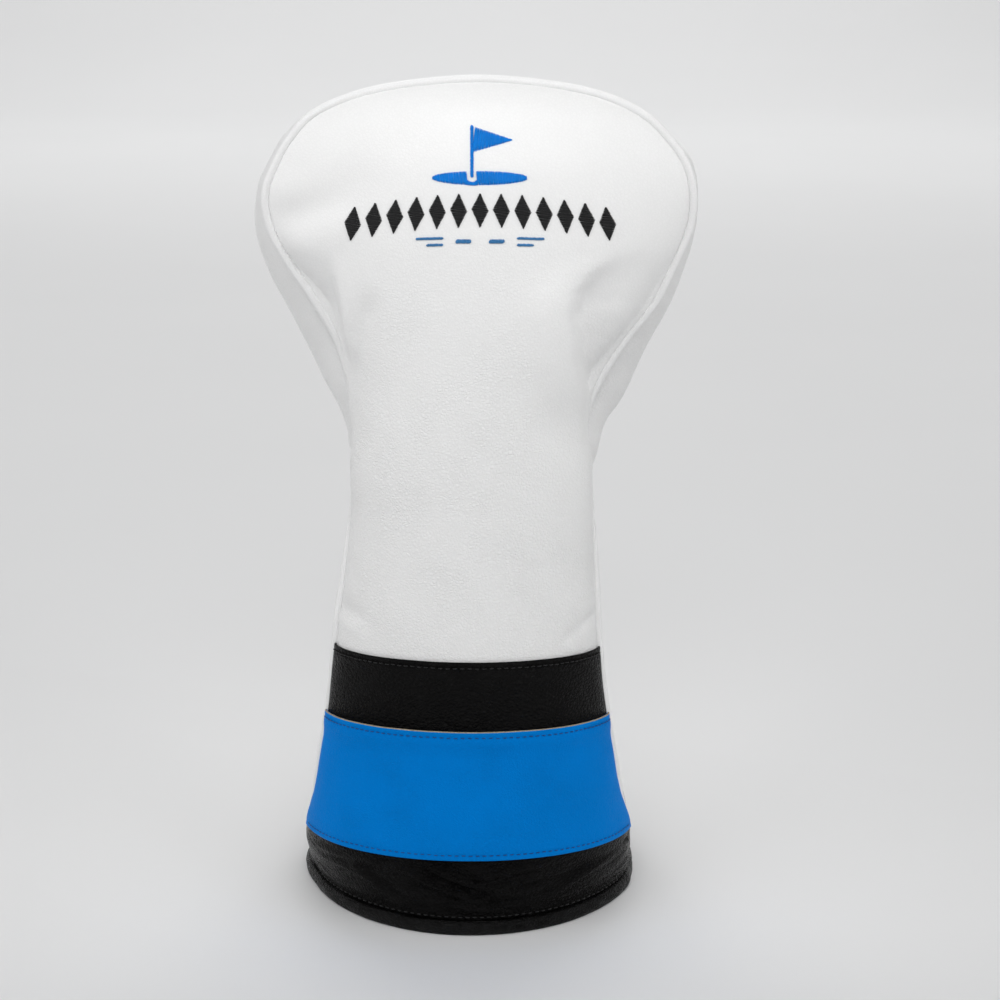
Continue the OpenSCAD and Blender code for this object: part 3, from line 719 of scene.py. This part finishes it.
# ------------------------------------------------------------------- piping
def seam_frame(L, s):
    p = at(L, s)
    d = unit(at(L, np.minimum(s + 0.08, 2 * NR)) - at(L, np.maximum(s - 0.08, 0)))
    o = seam_out(L, s)
    e = unit(np.cross(o, d))
    return p, np.cross(d, e), e, d


def tube_grid(L, s, r, n, wrinkle=0.0, seed=1):
    p, f, e, d = seam_frame(L, s)
    a = np.arange(n) * 2 * np.pi / n
    length = np.concatenate([[0], np.cumsum(np.linalg.norm(np.diff(p, axis=0), axis=1))])
    rr = r + wrinkle * (vnoise(length[:, None] / 3.3, a[None] * 0.8, seed) + 0.6 * vnoise(length[:, None] / 9, a[None] * 0.5, seed + 1))
    wob = 0.12 * vnoise(length / 22, length * 0, seed + 2) if wrinkle else 0 * length
    return (p[:, None] + (wob[:, None] * f)[:, None]
            + rr[..., None] * (np.cos(a)[None, :, None] * f[:, None] + np.sin(a)[None, :, None] * e[:, None]))


P0 = float(row(39.0))
SP = np.array([s for s in gusset_rows(0.9, P0) if P0 <= s <= 2 * NR - P0])
for tag, L, seed in (("front", FRONT, 3), ("back", BACK, 13)):
    sheet_mesh(tag + "_piping_roll", tube_grid(L, SP, PIPE_R, 20, 0.035, seed), tube_grid(L, SP, 1.05, 20), WHITE2,
               [tag + "_piping"], loop=True)
    p = tube_grid(L, SP[2:-2], 0.9, 12, 0.05, seed + 40)
    make(tag + "_piping_filler", p, grid_faces(p.shape[0], 12, 0, True).tolist()
         + [list(range(12)), list(range((p.shape[0] - 1) * 12, p.shape[0] * 12))[::-1]], CORD_M, [tag + "_piping_cord"])

# ---------------------------------------------------------------- the bands
BLACK_TOP, BLUE_TOP, BLUE_BOTTOM, CUFF_TOP, DROP, LEAN = 113.0, 85.0, 32.0, 36.0, 1.2, 0.7


def band_row(z, u):
    return row(z - DROP * u * u - LEAN * u)


def stitch_dip(u, n, z, zline, depth=0.16):
    """Leather drawn down along a row of stitches."""
    i = (u + 0.96) / 1.92 * n
    hole = 0.5 + 0.5 * np.cos(2 * np.pi * i)
    return depth * np.exp(-((z - zline) / 0.8) ** 2) * (0.45 + 0.75 * hole)


def band_solid(name, z0, z1, base, thick, lines, mat, replaces, cols=420, seed=0, wave=0.12, edge_mat=None, u_end=0.999):
    """Leather strip across the front with rounded edges: base(z) is its underside's height above the panel."""
    us = np.linspace(-u_end, u_end, cols)
    inner = np.concatenate([[z0 + 0.12], np.arange(z0 + 1, z1 - 0.9, 1.6), [z1 - 0.12]])
    fine = [np.arange(z0 + 0.9, z1 - 0.6, 0.9)]
    for zl, _ in lines:
        fine.append(np.arange(zl - 1.8, zl + 1.81, 0.3))
    body = np.unique(np.round(np.concatenate(fine), 3))
    body = body[(body > z0 + 0.85) & (body < z1 - 0.85)]
    keep = [body[0]]
    for z in body[1:]:
        if z - keep[-1] > 0.24:
            keep.append(z)
    prof = [(z0 + 0.05, 0.30), (z0, 0.60), (z0 + 0.10, 0.84), (z0 + 0.38, 0.97)]
    prof += [(z, 1.0) for z in keep]
    prof += [(z1 - 0.38, 0.97), (z1 - 0.10, 0.84), (z1, 0.60), (z1 - 0.05, 0.30)]
    prof += [(z, 0.0) for z in inner[::-1]]
    P = []
    for z, k in prof:
        r = band_row(z, us)
        d = base(z) + thick * k + wave * vnoise(us * 7 + seed, z / 14, seed) * (1 if k > 0 else 1)
        if k >= 0.99:
            for zl, n in lines:
                d = d - stitch_dip(us, n, z, zl)
        q, _ = front_frame(r, us, d)
        P.append(q)
    P = np.array(P)
    o = loft_mesh(name, P, mat, replaces)
    if edge_mat is not None:
        o.data.materials.append(edge_mat)
        nb = len(keep) + 4
        idx = np.zeros(len(o.data.polygons), int)
        quads_per = cols - 1
        for rr in (nb + 0, nb + 1, nb + 2):
            idx[rr * quads_per:(rr + 1) * quads_per] = 1
        o.data.polygons.foreach_set("material_index", idx.tolist())
    return o


upper_band = band_solid("upper_black_band_leather", BLUE_TOP - 5, BLACK_TOP, lambda z: 0.35, 0.9,
                        [(BLACK_TOP - 2.5, 52)], BLACK, ["upper_black_band"], seed=5)


def blue_base(z):
    return float(np.interp(z, [32, 35, 38, 42, 48, 56, 74, 77, 80, 85], [1.95, 1.92, 1.75, 1.25, 0.75, 0.45, 0.4, 0.75, 1.4, 1.6]))


blue_band = band_solid("blue_band_leather", BLUE_BOTTOM, BLUE_TOP, blue_base, 0.9,
                       [(BLUE_TOP - 2.5, 56), (BLUE_BOTTOM + 2.5, 64)], BLUE, ["blue_band"], cols=480, seed=8, edge_mat=TAN)


# ------------------------------------------------------- cuff, hem, the ring
def ring_pt(r, k):
    r, k = np.broadcast_arrays(np.asarray(r, float), np.asarray(k, float))
    q = np.mod(k, 4)
    f, g, b, h = q < 1, (q >= 1) & (q < 2), (q >= 2) & (q < 3), q >= 3
    out = np.empty(q.shape + (3,))
    out[f] = front_pt(r[f], 2 * q[f] - 1)
    out[g] = gusset_pt(2 * NR - r[g], q[g] - 1)
    out[b] = back_pt(r[b], 5 - 2 * q[b])
    out[h] = gusset_pt(r[h], 4 - q[h])
    return out


def ring_n(r, k):
    d = ring_pt(r, k + 0.04) - ring_pt(r, k - 0.04)
    return unit(np.stack([d[..., 1], -d[..., 0], 0 * d[..., 0]], -1))


def ring_smooth(r, k):
    """Ring point and normal with the corners at the seams rounded off."""
    w = np.array([-0.05, -0.025, 0, 0.025, 0.05])
    g = np.array([0.1, 0.22, 0.36, 0.22, 0.1])
    p = sum(ring_pt(r, k + a) * b for a, b in zip(w, g))
    e = 0.012
    p2 = sum(ring_pt(r, k + a + e) * b for a, b in zip(w, g))
    p1 = sum(ring_pt(r, k + a - e) * b for a, b in zip(w, g))
    d = p2 - p1
    return p, unit(np.stack([d[..., 1], -d[..., 0], 0 * d[..., 0]], -1))


def even_ks(n):
    """Ring stations at even spacing round the hem."""
    k = np.linspace(0, 4, 1601)
    p = ring_pt(np.zeros_like(k) + 0.05, k % 4)
    s = np.concatenate([[0], np.cumsum(np.linalg.norm(np.diff(p, axis=0), axis=1))])
    return np.interp(np.arange(n) / n * s[-1], s, k), s[-1]


KS, RING_LEN = even_ks(900)
RING_MM = np.arange(900) / 900 * RING_LEN


def ring_noise(scale, y, seed):
    """Noise round the ring that closes on itself."""
    a = RING_MM / RING_LEN * 2 * np.pi
    r = RING_LEN / scale / (2 * np.pi)
    return vnoise(r * np.cos(a) + 50 + 7.3 * y, r * np.sin(a) + 50 + 3.1 * y, seed)


def ring_dip(k):
    k = np.mod(k, 4)
    u = np.where(k < 1, 2 * k - 1, np.where(k < 2, 1.0, np.where(k < 3, 5 - 2 * k, -1.0)))
    return DROP * u * u + LEAN * u


CREASES = [(-23, 25, 6, 14, 1.7), (-16, 28, 2, 21, 1.2), (-10, 15, 8, 11, 0.8), (-48, 24, -32, 13, 0.6), (28, 15, 48, 24, 0.6), (6, 20, 24, 24, 0.4)]


def cuff_loft():
    zs = [CUFF_TOP - 0.12, 30, 25, 20, 15, 10, 6.6]
    outer = [(CUFF_TOP - 0.05, 0.30), (CUFF_TOP, 0.6), (CUFF_TOP - 0.10, 0.84), (CUFF_TOP - 0.38, 0.97)]
    outer += [(z, 1.0) for z in np.arange(CUFF_TOP - 0.9, 6.5, -0.6)] + [(6.3, 1.0)]
    P = []
    for z, k in outer + [(z, 0.0) for z in [6.6, 10, 15, 20, 25, 30, CUFF_TOP - 0.12]]:
        fade = sm(z, 9, 16)
        zz = z - ring_dip(KS) * fade
        p, n = ring_smooth(row(zz), KS)
        wrinkle = 0.0
        w = 0.35 * ring_noise(17, z / 18, 101) + 0.22 * ring_noise(8, z / 11, 102)
        w = w * sm(z, 7, 13) * (1 - 0.8 * sm(z, 26, 33))
        # creases that run slantwise across the front of the cuff
        x = p[:, 0]
        front = p[:, 1] < 0
        crease = 0.0
        for x0, z0, x1, z1, amp in CREASES:
            t, h = from_line(x, z, x0, z0, x1, z1)
            win = sm(t, -0.25, 0.2) * (1 - sm(t, 0.75, 1.2)) * front
            crease = crease + amp * win * (bell(h + 1.6, 1.7) - 0.7 * bell(h - 1.6, 1.9))
        d = 0.85 + 0.80 * k + w + crease * sm(z, 7.5, 12) * (1 - sm(z, 28, 33))
        if k == 1.0:
            d = d - 0.15 * math.exp(-((z - (CUFF_TOP - 2.5)) / 0.8) ** 2) - 0.35 * math.exp(-((z - 6.4) / 1.3) ** 2)
        P.append(p + n * np.asarray(d)[..., None] + np.array([0, 0, 1]) * 0)
    return np.array(P)


cuff = loft_mesh("black_cuff_leather", cuff_loft(), BLACK, ["black_cuff"], loop=True)


def hem_loft():
    """Rolled binding, flat where it stands on the floor."""
    prof = [(-1.9, 0.0), (0.0, 0.0), (2.1, 0.0), (2.85, 0.22), (3.2, 0.75), (3.35, 1.7), (3.28, 2.8), (3.2, 3.9), (2.95, 4.8),
            (2.5, 5.5), (1.9, 5.85), (1.25, 5.75), (0.9, 5.45), (0.6, 5.65), (0.0, 5.9), (-1.0, 5.85), (-1.9, 5.45), (-2.5, 4.6),
            (-2.78, 3.4), (-2.8, 2.2), (-2.65, 1.0), (-2.35, 0.3)]
    P = []
    p, n = ring_smooth(np.zeros_like(KS), KS)
    for o, z in prof:
        up = sm(z, 0.5, 3.0)
        w = 0.22 * ring_noise(3.4, z / 4, 110) + 0.22 * ring_noise(5.5, z / 7, 111) + 0.25 * ring_noise(16, z / 20, 112)
        oo = o + w * (0.3 + 0.7 * up) * (1 if o > 0 else 0.5)
        q = p + n * oo[:, None]
        q[:, 2] = z + (0.18 * ring_noise(9, 3.0, 113) - 0.1) * sm(z, 3.0, 5.5)
        P.append(q)
    return np.array(P)


hem = loft_mesh("hem_roll", hem_loft(), HEM, ["hem_binding"], loop=True)


# ---------------------------------------------------------- hidden layers
foam_in = LEATHER + 0.6
FR = np.array([r for r in fine_rows(4.0) if 0.6 < r < 21.2])


def foam_sheet(name, pos, a, b, d0, d1, replaces):
    A, B = np.meshgrid(a, b, indexing="ij")
    lump = 0.12 * fbm(A * 1.7, B * 6, 17)
    O, I = pos(A, B, -d0), pos(A, B, -d1 - 0) + 0
    N = unit(O - I)
    O = O - N * np.abs(lump)[..., None]
    # rounded edge all round
    er = np.minimum(np.arange(len(a)), np.arange(len(a))[::-1])[:, None] / 1.5
    ec = np.minimum(np.arange(len(b)), np.arange(len(b))[::-1])[None] / 1.5
    k = np.clip(1 - np.minimum(er, ec), 0, 1)[..., None] * 0.3
    O, I = O + (I - O) * k, I + (O - I) * k
    o = sheet_mesh(name, O, I, FOAM_M, replaces)
    return o


foam_sheet("front_foam", front_s, FR, np.linspace(-0.875, 0.875, 70), foam_in, foam_in + FOAM, ["front_padding"])
foam_sheet("back_foam", back_s, FR, np.linspace(-6 / 7, 6 / 7, 90), foam_in + 0.2, foam_in + FOAM, ["back_padding"])
GS = np.array([s for s in gusset_rows(4.0) if 0.6 < s < 2 * NR - 0.6])
foam_sheet("gusset_foam", gusset_s, GS, np.linspace(1 / 6, 5 / 6, 30), foam_in, foam_in + FOAM, ["gusset_padding"])

BR = np.array([r for r in fine_rows(3.0) if 13.9 < r < 19.2])
BU = np.linspace(-0.625, 0.625, 80)
backing = sheet_mesh("embroidery_backing_cloth", grid(front_s, BR, BU, -LEATHER - 0.15), grid(front_s, BR, BU, -LEATHER - 0.35),
                     BACKING_M, ["embroidery_backing"])

EL0, EL1 = float(row(166.0)), float(row(186.0))
el_in = foam_in + FOAM + 0.3


def elastic_grid(off):
    r = np.linspace(EL0, EL1, 22)
    u = np.linspace(-0.84, 0.84, 260)
    R, U = np.meshgrid(r, u, indexing="ij")
    rib = 0.07 * np.sin((R - EL0) / (EL1 - EL0) * 2 * np.pi * 7)
    base = surface(back_pt, back_n, lambda a, b: back_d(a, b) * 0.45)
    return base(R, U, off + rib * (1 if off > -el_in - 0.6 else -1) + 0.0)


elastic = sheet_mesh("neck_elastic_tape", elastic_grid(-el_in - 0.9), elastic_grid(-el_in - 1.8), ELASTIC_M, ["neck_elastic"])

BAG = np.array([
    [6.3, -2.3, 59.6, -52.8, 55], [12, -2.2, 58.6, -51.2, 53.4], [20, -2, 57, -49.5, 51], [40, -3, 56, -50, 49], [66, -3, 51, -48, 45], [96, -3.5, 46, -44, 41],
    [130, -2, 43, -40, 36], [168, -1, 40, -38, 33], [195, -1, 40, -38, 35], [215, 0, 44, -40, 38], [235, 1, 52, -42, 41],
    [255, 3, 62, -44, 43], [272, 3, 68, -45, 43], [286, 3, 69, -44, 41], [298, 2, 63, -42, 36], [307, 2, 54, -39, 29],
    [314, 2, 40, -35, 20], [318, 2, 24, -31, 10]], float)


def bag_mesh():
    n, rings = 140, 150
    t = np.linspace(0, len(BAG) - 1, rings)
    b = at(BAG, t)
    a = np.arange(n) * 2 * np.pi / n
    out = []
    for d in (0.0, 1.5):
        c, s = np.cos(a)[None], np.sin(a)[None]
        m = (np.abs(c) ** 2.3 + np.abs(s) ** 2.3) ** (-1 / 2.3)
        y, hy = (b[:, 3] + b[:, 4]) / 2, (b[:, 4] - b[:, 3]) / 2
        z = b[:, 0]
        lump = 0.7 * vnoise(3 * c + 10 + 0 * z[:, None], 3 * s + 10 + z[:, None] / 22, 121) + 0.25 * vnoise(a[None] * 6, z[:, None] / 7, 122) * np.sin(a / 2)[None] ** 2
        lump = lump * sm(z, 8, 30)[:, None] - 0.6
        hxx, hyy = (b[:, 2] - d)[:, None] + lump, (hy - d)[:, None] + lump
        P = np.stack([b[:, 1][:, None] + CX + hxx * m * c, y[:, None] + CY + hyy * m * s,
                      np.broadcast_to((z - (d if d else 0) * sm(z, 290, 314))[:, None], hxx.shape)], -1)
        # close the top gently
        last = P[-1]
        mid = last.mean(axis=0)
        caps = [mid + (last - mid) * k + np.array([0, 0, h]) for k, h in ((0.8, 0.5), (0.55, 0.9), (0.3, 1.1), (0.08, 1.2))]
        out.append(np.concatenate([P, np.array(caps)]))
    O, I = out
    nr = O.shape[0]
    N = nr * n
    f = [grid_faces(nr, n, 0, True), grid_faces(nr, n, N, True, flip=True)]
    c = np.arange(n)
    c2 = (c + 1) % n
    f.append(np.stack([c, c2, N + c2, N + c], -1))
    faces = np.concatenate(f).tolist()
    faces.append([(nr - 1) * n + i for i in range(n)])
    faces.append([N + (nr - 1) * n + i for i in range(n)][::-1])
    return make("fleece_lining", np.concatenate([O.reshape(-1, 3), I.reshape(-1, 3)]), faces, FLEECE, ["lining"])


lining = bag_mesh()


# ---------------------------------------------------------------- stitching
def arch(p, x, nn, half, lift, dip, k=7):
    """Stitch centreline: up out of the leather, along, and down again."""
    t = np.linspace(-1, 1, k)
    h = lift * (1 - np.abs(t) ** 3.5) - dip * np.abs(t) ** 6
    return p[:, None] + x[:, None] * (t * half)[None, :, None] + nn[:, None] * h[None, :, None]


def front_stitches(name, z, d, n, mat, replaces, half=1.0):
    rng = np.random.default_rng(n + 3)
    i = np.arange(n)
    u = -0.96 + 1.92 * (i + 0.5) / n
    dz = rng.uniform(-0.10, 0.10, n)
    r = band_row(z + dz, u)
    p, nn = front_frame(r, u, d + 0.02)
    r2 = band_row(z + dz + rng.uniform(-0.05, 0.05, n), u + 0.01)
    p2, _ = front_frame(r2, u + 0.01, d + 0.02)
    x = unit(p2 - p)
    P = arch(p, x, nn, half, 0.14, 0.35)
    return threads_mesh(name, P, np.broadcast_to(nn[:, None], P.shape), 0.22, 0.18, mat, replaces)


front_stitches("upper_band_stitches", BLACK_TOP - 2.5, 0.35 + 0.9 - 0.10, 52, T_BLACK, ["black_band_stitching"])
front_stitches("blue_band_top_stitches", BLUE_TOP - 2.5, 1.6 + 0.9 - 0.14, 56, T_NAVY, ["blue_top_stitching"], 0.9)
front_stitches("blue_band_bottom_stitches", BLUE_BOTTOM + 2.5, 1.93 + 0.9 - 0.12, 64, T_NAVY, ["blue_bottom_stitching"], 0.9)


def ring_stitches(spans, z, d, level):
    P, N = [], []
    for k0, k1, n in spans:
        k = k0 + (k1 - k0) * (np.arange(n) + 0.5) / n
        r = row(np.full(n, float(z))) if level else row(z - ring_dip(k))
        p, nn = ring_smooth(r, k)
        x = unit(np.stack([-nn[:, 1], nn[:, 0], 0 * nn[:, 0]], -1))
        q = arch(p + nn * d, x, nn, 1.0, 0.14, 0.35)
        P.append(q)
        N.append(np.broadcast_to(nn[:, None], q.shape))
    return np.concatenate(P), np.concatenate(N)


P, N = ring_stitches([(1.15, 1.85, 16), (2.03, 2.97, 50), (3.15, 3.85, 16)], CUFF_TOP - 2.5, 1.5, False)
threads_mesh("cuff_stitches", P, N, 0.26, 0.2, T_BLACK, ["cuff_stitching"])
P, N = ring_stitches([(0.02, 0.98, 56), (1.12, 1.88, 18), (2.03, 2.97, 50), (3.12, 3.88, 18)], 8.2, 1.55, True)
threads_mesh("hem_stitches", P, N, 0.26, 0.2, T_BLACK, ["hem_stitching"])


def elastic_zigzag():
    P, N = [], []
    base = surface(back_pt, back_n, lambda a, b: back_d(a, b) * 0.45)
    for i in range(24):
        u0 = -0.8 + 1.6 * i / 24
        u1 = u0 + 1.6 / 24
        ra, rb = (EL0 + 0.3, EL1 - 0.3) if i % 2 == 0 else (EL1 - 0.3, EL0 + 0.3)
        t = np.linspace(0, 1, 9)
        r, u = ra + (rb - ra) * t, u0 + 0.006 + (u1 - u0 - 0.012) * t
        P.append(base(r, u, -el_in - 2.0))
        N.append(back_n(r, u))
    return np.array(P), np.array(N)


P, N = elastic_zigzag()
threads_mesh("elastic_zigzag_stitches", P, N, 0.25, 0.2, T_WHITE, ["elastic_stitching"])


# --------------------------------------------------------------- embroidery
def front_at(x, z):
    x, z = np.broadcast_arrays(np.asarray(x, float), np.asarray(z, float))
    r = row(z)
    l, g = edge(FRONT, FRONT_MID, 1, r, GAP), edge(FRONT, FRONT_MID, 1, 2 * NR - r, GAP)
    q = at(SPREAD, r)
    v = (x - (l[..., 0] + g[..., 0]) / 2) / ((g[..., 0] - l[..., 0]) / 2)
    return r, np.degrees(np.arcsin(np.clip(v * np.sin(np.radians(q)), -1, 1))) / q


class Satin:
    """Threads laid side by side, each from one edge of a shape to the other."""
    def __init__(self, seed):
        self.a, self.b, self.h = [], [], []
        self.rng = np.random.default_rng(seed)

    def line(self, xa, za, xb, zb, dome):
        j = self.rng.uniform(-0.07, 0.07, 4)
        self.a.append((xa + j[0], za + j[1]))
        self.b.append((xb + j[2], zb + j[3]))
        self.h.append(dome)

    def bar(self, x0, z0, x1, z1, w, pitch=0.36, slant=0.25):
        """A bar filled with threads across its width."""
        L = math.hypot(x1 - x0, z1 - z0)
        ex, ez = (x1 - x0) / L, (z1 - z0) / L
        n = max(2, int(round(L / pitch)))
        for i in range(n + 1):
            t = i / n * L
            k = w / 2 * min(1.0, 0.55 + min(t, L - t) / 0.6)
            self.line(x0 + ex * (t - slant * k) + ez * k, z0 + ez * (t - slant * k) - ex * k,
                      x0 + ex * (t + slant * k) - ez * k, z0 + ez * (t + slant * k) + ex * k, 0.42)

    def build(self, name, mat, replaces, radius=0.21, k=9):
        a, b, h = np.array(self.a), np.array(self.b), np.array(self.h)
        t = np.linspace(0, 1, k)
        x = a[:, :1] + (b[:, :1] - a[:, :1]) * t
        z = a[:, 1:] + (b[:, 1:] - a[:, 1:]) * t
        r, u = front_at(x, z)
        length = np.linalg.norm(b - a, axis=1)
        lift = 0.10 + (h * np.clip(length / 2.4, 0.5, 1))[:, None] * np.sqrt(np.clip(1 - np.abs(2 * t - 1) ** 3, 0, 1))[None]
        lift[:, 0] = lift[:, -1] = -0.25
        p, n = front_frame(r, u, lift)
        return threads_mesh(name, p, n, radius, radius * 0.8, mat, replaces, sides=6, taper=0.5)


EMX, EMZ = 2.0 + CX * 0, 309.0
flag = Satin(1)
flag.bar(EMX - 3, EMZ - 5.6, EMX - 3, EMZ + 13.0, 1.3)
for x in np.arange(-2.2, 12.2, 0.36):
    hh = 4.9 * (1 - (x + 2.2) / 14.6)
    flag.line(EMX + x - 0.12 * hh, EMZ + 8 - hh, EMX + x + 0.12 * hh, EMZ + 8 + hh, 0.42)
flag.build("emblem_flag_satin", T_BLUE, ["emblem_flag"])
green = Satin(2)
for x in np.arange(-17.6, 17.61, 0.36):
    half = 2.9 * math.sqrt(max(0.0, 1 - (x / 18) ** 2))
    top = -0.9 - 0.5 * math.cos((x + 3) * 1.2) if abs(x + 3) < 1.75 else half
    green.line(EMX + x + 0.10 * half, EMZ - 6 - half, EMX + x - 0.10 * top, EMZ - 6 + top, 0.42)
green.build("emblem_green_satin", T_BLUE, ["emblem_green"])
dia = Satin(3)
for i in range(-6, 7):
    cx0, cz0 = EMX + i * 8, 291 - 0.16 * i * i
    for dz in np.arange(-6.2, 6.21, 0.36):
        w = 3.45 * (1 - abs(dz) / 6.6)
        tilt = -0.02 * i
        dia.line(cx0 - w + tilt * dz, cz0 + dz + 0.12 * w, cx0 + w + tilt * dz, cz0 + dz - 0.12 * w, 0.5)
dia.build("diamond_row_satin", T_BLACK, ["diamond_row"])
acc = Satin(4)
for s in (-1, 1):
    acc.bar(EMX + s * 14, 280.4, EMX + s * 24, 280.0, 1.0)
    acc.bar(EMX + s * 14, 277.8, EMX + s * 20, 277.6, 1.0)
    acc.bar(EMX + s * 3.5, 279.2, EMX + s * 9, 279.2, 1.7)
acc.build("accent_dashes_satin", T_STEEL, ["accent_dashes"])


# ----------------------------------------------------------- leather panel areas
def one_side(P, loop=False):
    if loop:
        P = np.concatenate([P, P[:, :1]], 1)
    a, b = P[1:, :-1] - P[:-1, :-1], P[:-1, 1:] - P[:-1, :-1]
    c, d = P[1:, :-1] - P[1:, 1:], P[:-1, 1:] - P[1:, 1:]
    return (np.linalg.norm(np.cross(a, b), axis=-1).sum() + np.linalg.norm(np.cross(c, d), axis=-1).sum()) / 2 * 1e-6


AREAS = {"front": one_side(front_out), "back": one_side(back_out), "gusset": one_side(gusset_out)}

# ---------------------------------------------------------------- the stage
def floor_mesh():
    prof = [(-3.0, 0.0)] + [(y, 0.0) for y in np.linspace(-2, 3.0, 12)]
    for a in np.linspace(0, math.pi / 2, 14)[1:]:
        prof.append((3.0 + 1.5 * math.sin(a), 1.5 * (1 - math.cos(a))))
    prof.append((4.5, 4.0))
    xs = np.linspace(-4, 4, 9)
    v = [(x, y, z) for y, z in prof for x in xs]
    f = grid_faces(len(prof), len(xs)).tolist()
    me = bpy.data.meshes.new("floor_sweep")
    me.from_pydata(v, [], f)
    me.polygons.foreach_set("use_smooth", [True] * len(me.polygons))
    o = bpy.data.objects.new("floor_sweep", me)
    scene.collection.objects.link(o)
    m = Mat("paper_sweep")
    m.l(m.ramp(m.noise(3, 2, 0.5), 0.3, 0.7, (0.795, 0.797, 0.80), (0.805, 0.807, 0.81)), m.b.inputs["Base Color"])
    m.b.inputs["Roughness"].default_value = 0.9
    m.b.inputs["Specular IOR Level"].default_value = 0.1
    me.materials.append(m.done())


floor_mesh()


def area_light(name, loc, target, size, power, color=(1, 1, 1), shape="RECTANGLE", spread=180):
    d = bpy.data.lights.new(name, "AREA")
    d.shape = shape
    d.spread = math.radians(spread)
    d.size, d.size_y = size
    d.energy = power
    d.color = color
    o = bpy.data.objects.new(name, d)
    scene.collection.objects.link(o)
    from mathutils import Vector
    o.location = loc
    o.rotation_mode = "QUATERNION"
    o.rotation_quaternion = (Vector(target) - Vector(loc)).to_track_quat("-Z", "Y")
    return o


area_light("near_top_front", (0.0, -0.50, 0.62), (0, -0.06, 0.235), (0.3, 0.2), 0.176, spread=60)
area_light("near_left", (-0.45, -0.45, 0.70), (0, -0.03, 0.28), (0.4, 0.3), 0.112, spread=60)
area_light("near_right", (0.45, -0.45, 0.70), (0, -0.03, 0.28), (0.4, 0.3), 0.118, spread=60)
area_light("side_left", (-1.1, -0.35, 0.5), (0, 0, 0.15), (0.5, 0.9), 1.74)
area_light("side_right", (1.1, -0.35, 0.5), (0, 0, 0.15), (0.5, 0.9), 1.33)
area_light("back_top", (0.0, 0.9, 1.3), (0, 0.3, 0.0), (1.5, 0.6), 3.6)
area_light("background", (0.0, 2.2, 2.6), (0, 1.6, 0), (3.0, 1.5), 23.4)
area_light("far_background", (0.0, 2.6, 1.6), (0, 3.6, 0.2), (3.0, 0.8), 13.9)

world = bpy.data.worlds.new("studio")
scene.world = world
world.use_nodes = True
world.node_tree.nodes["Background"].inputs["Color"].default_value = (1, 1, 1, 1)
world.node_tree.nodes["Background"].inputs["Strength"].default_value = 0.42
scene.view_settings.view_transform = "Standard"

cam = bpy.data.cameras.new("camera")
cam.lens, cam.sensor_width = 86.46, 36.0
cam.clip_start, cam.clip_end = 0.05, 50
cam_o = bpy.data.objects.new("camera", cam)
cam_o.location = (0.00948, -0.9493, 0.42)
cam_o.rotation_euler = (math.radians(74.9283), 0, 0)
scene.collection.objects.link(cam_o)
scene.camera = cam_o
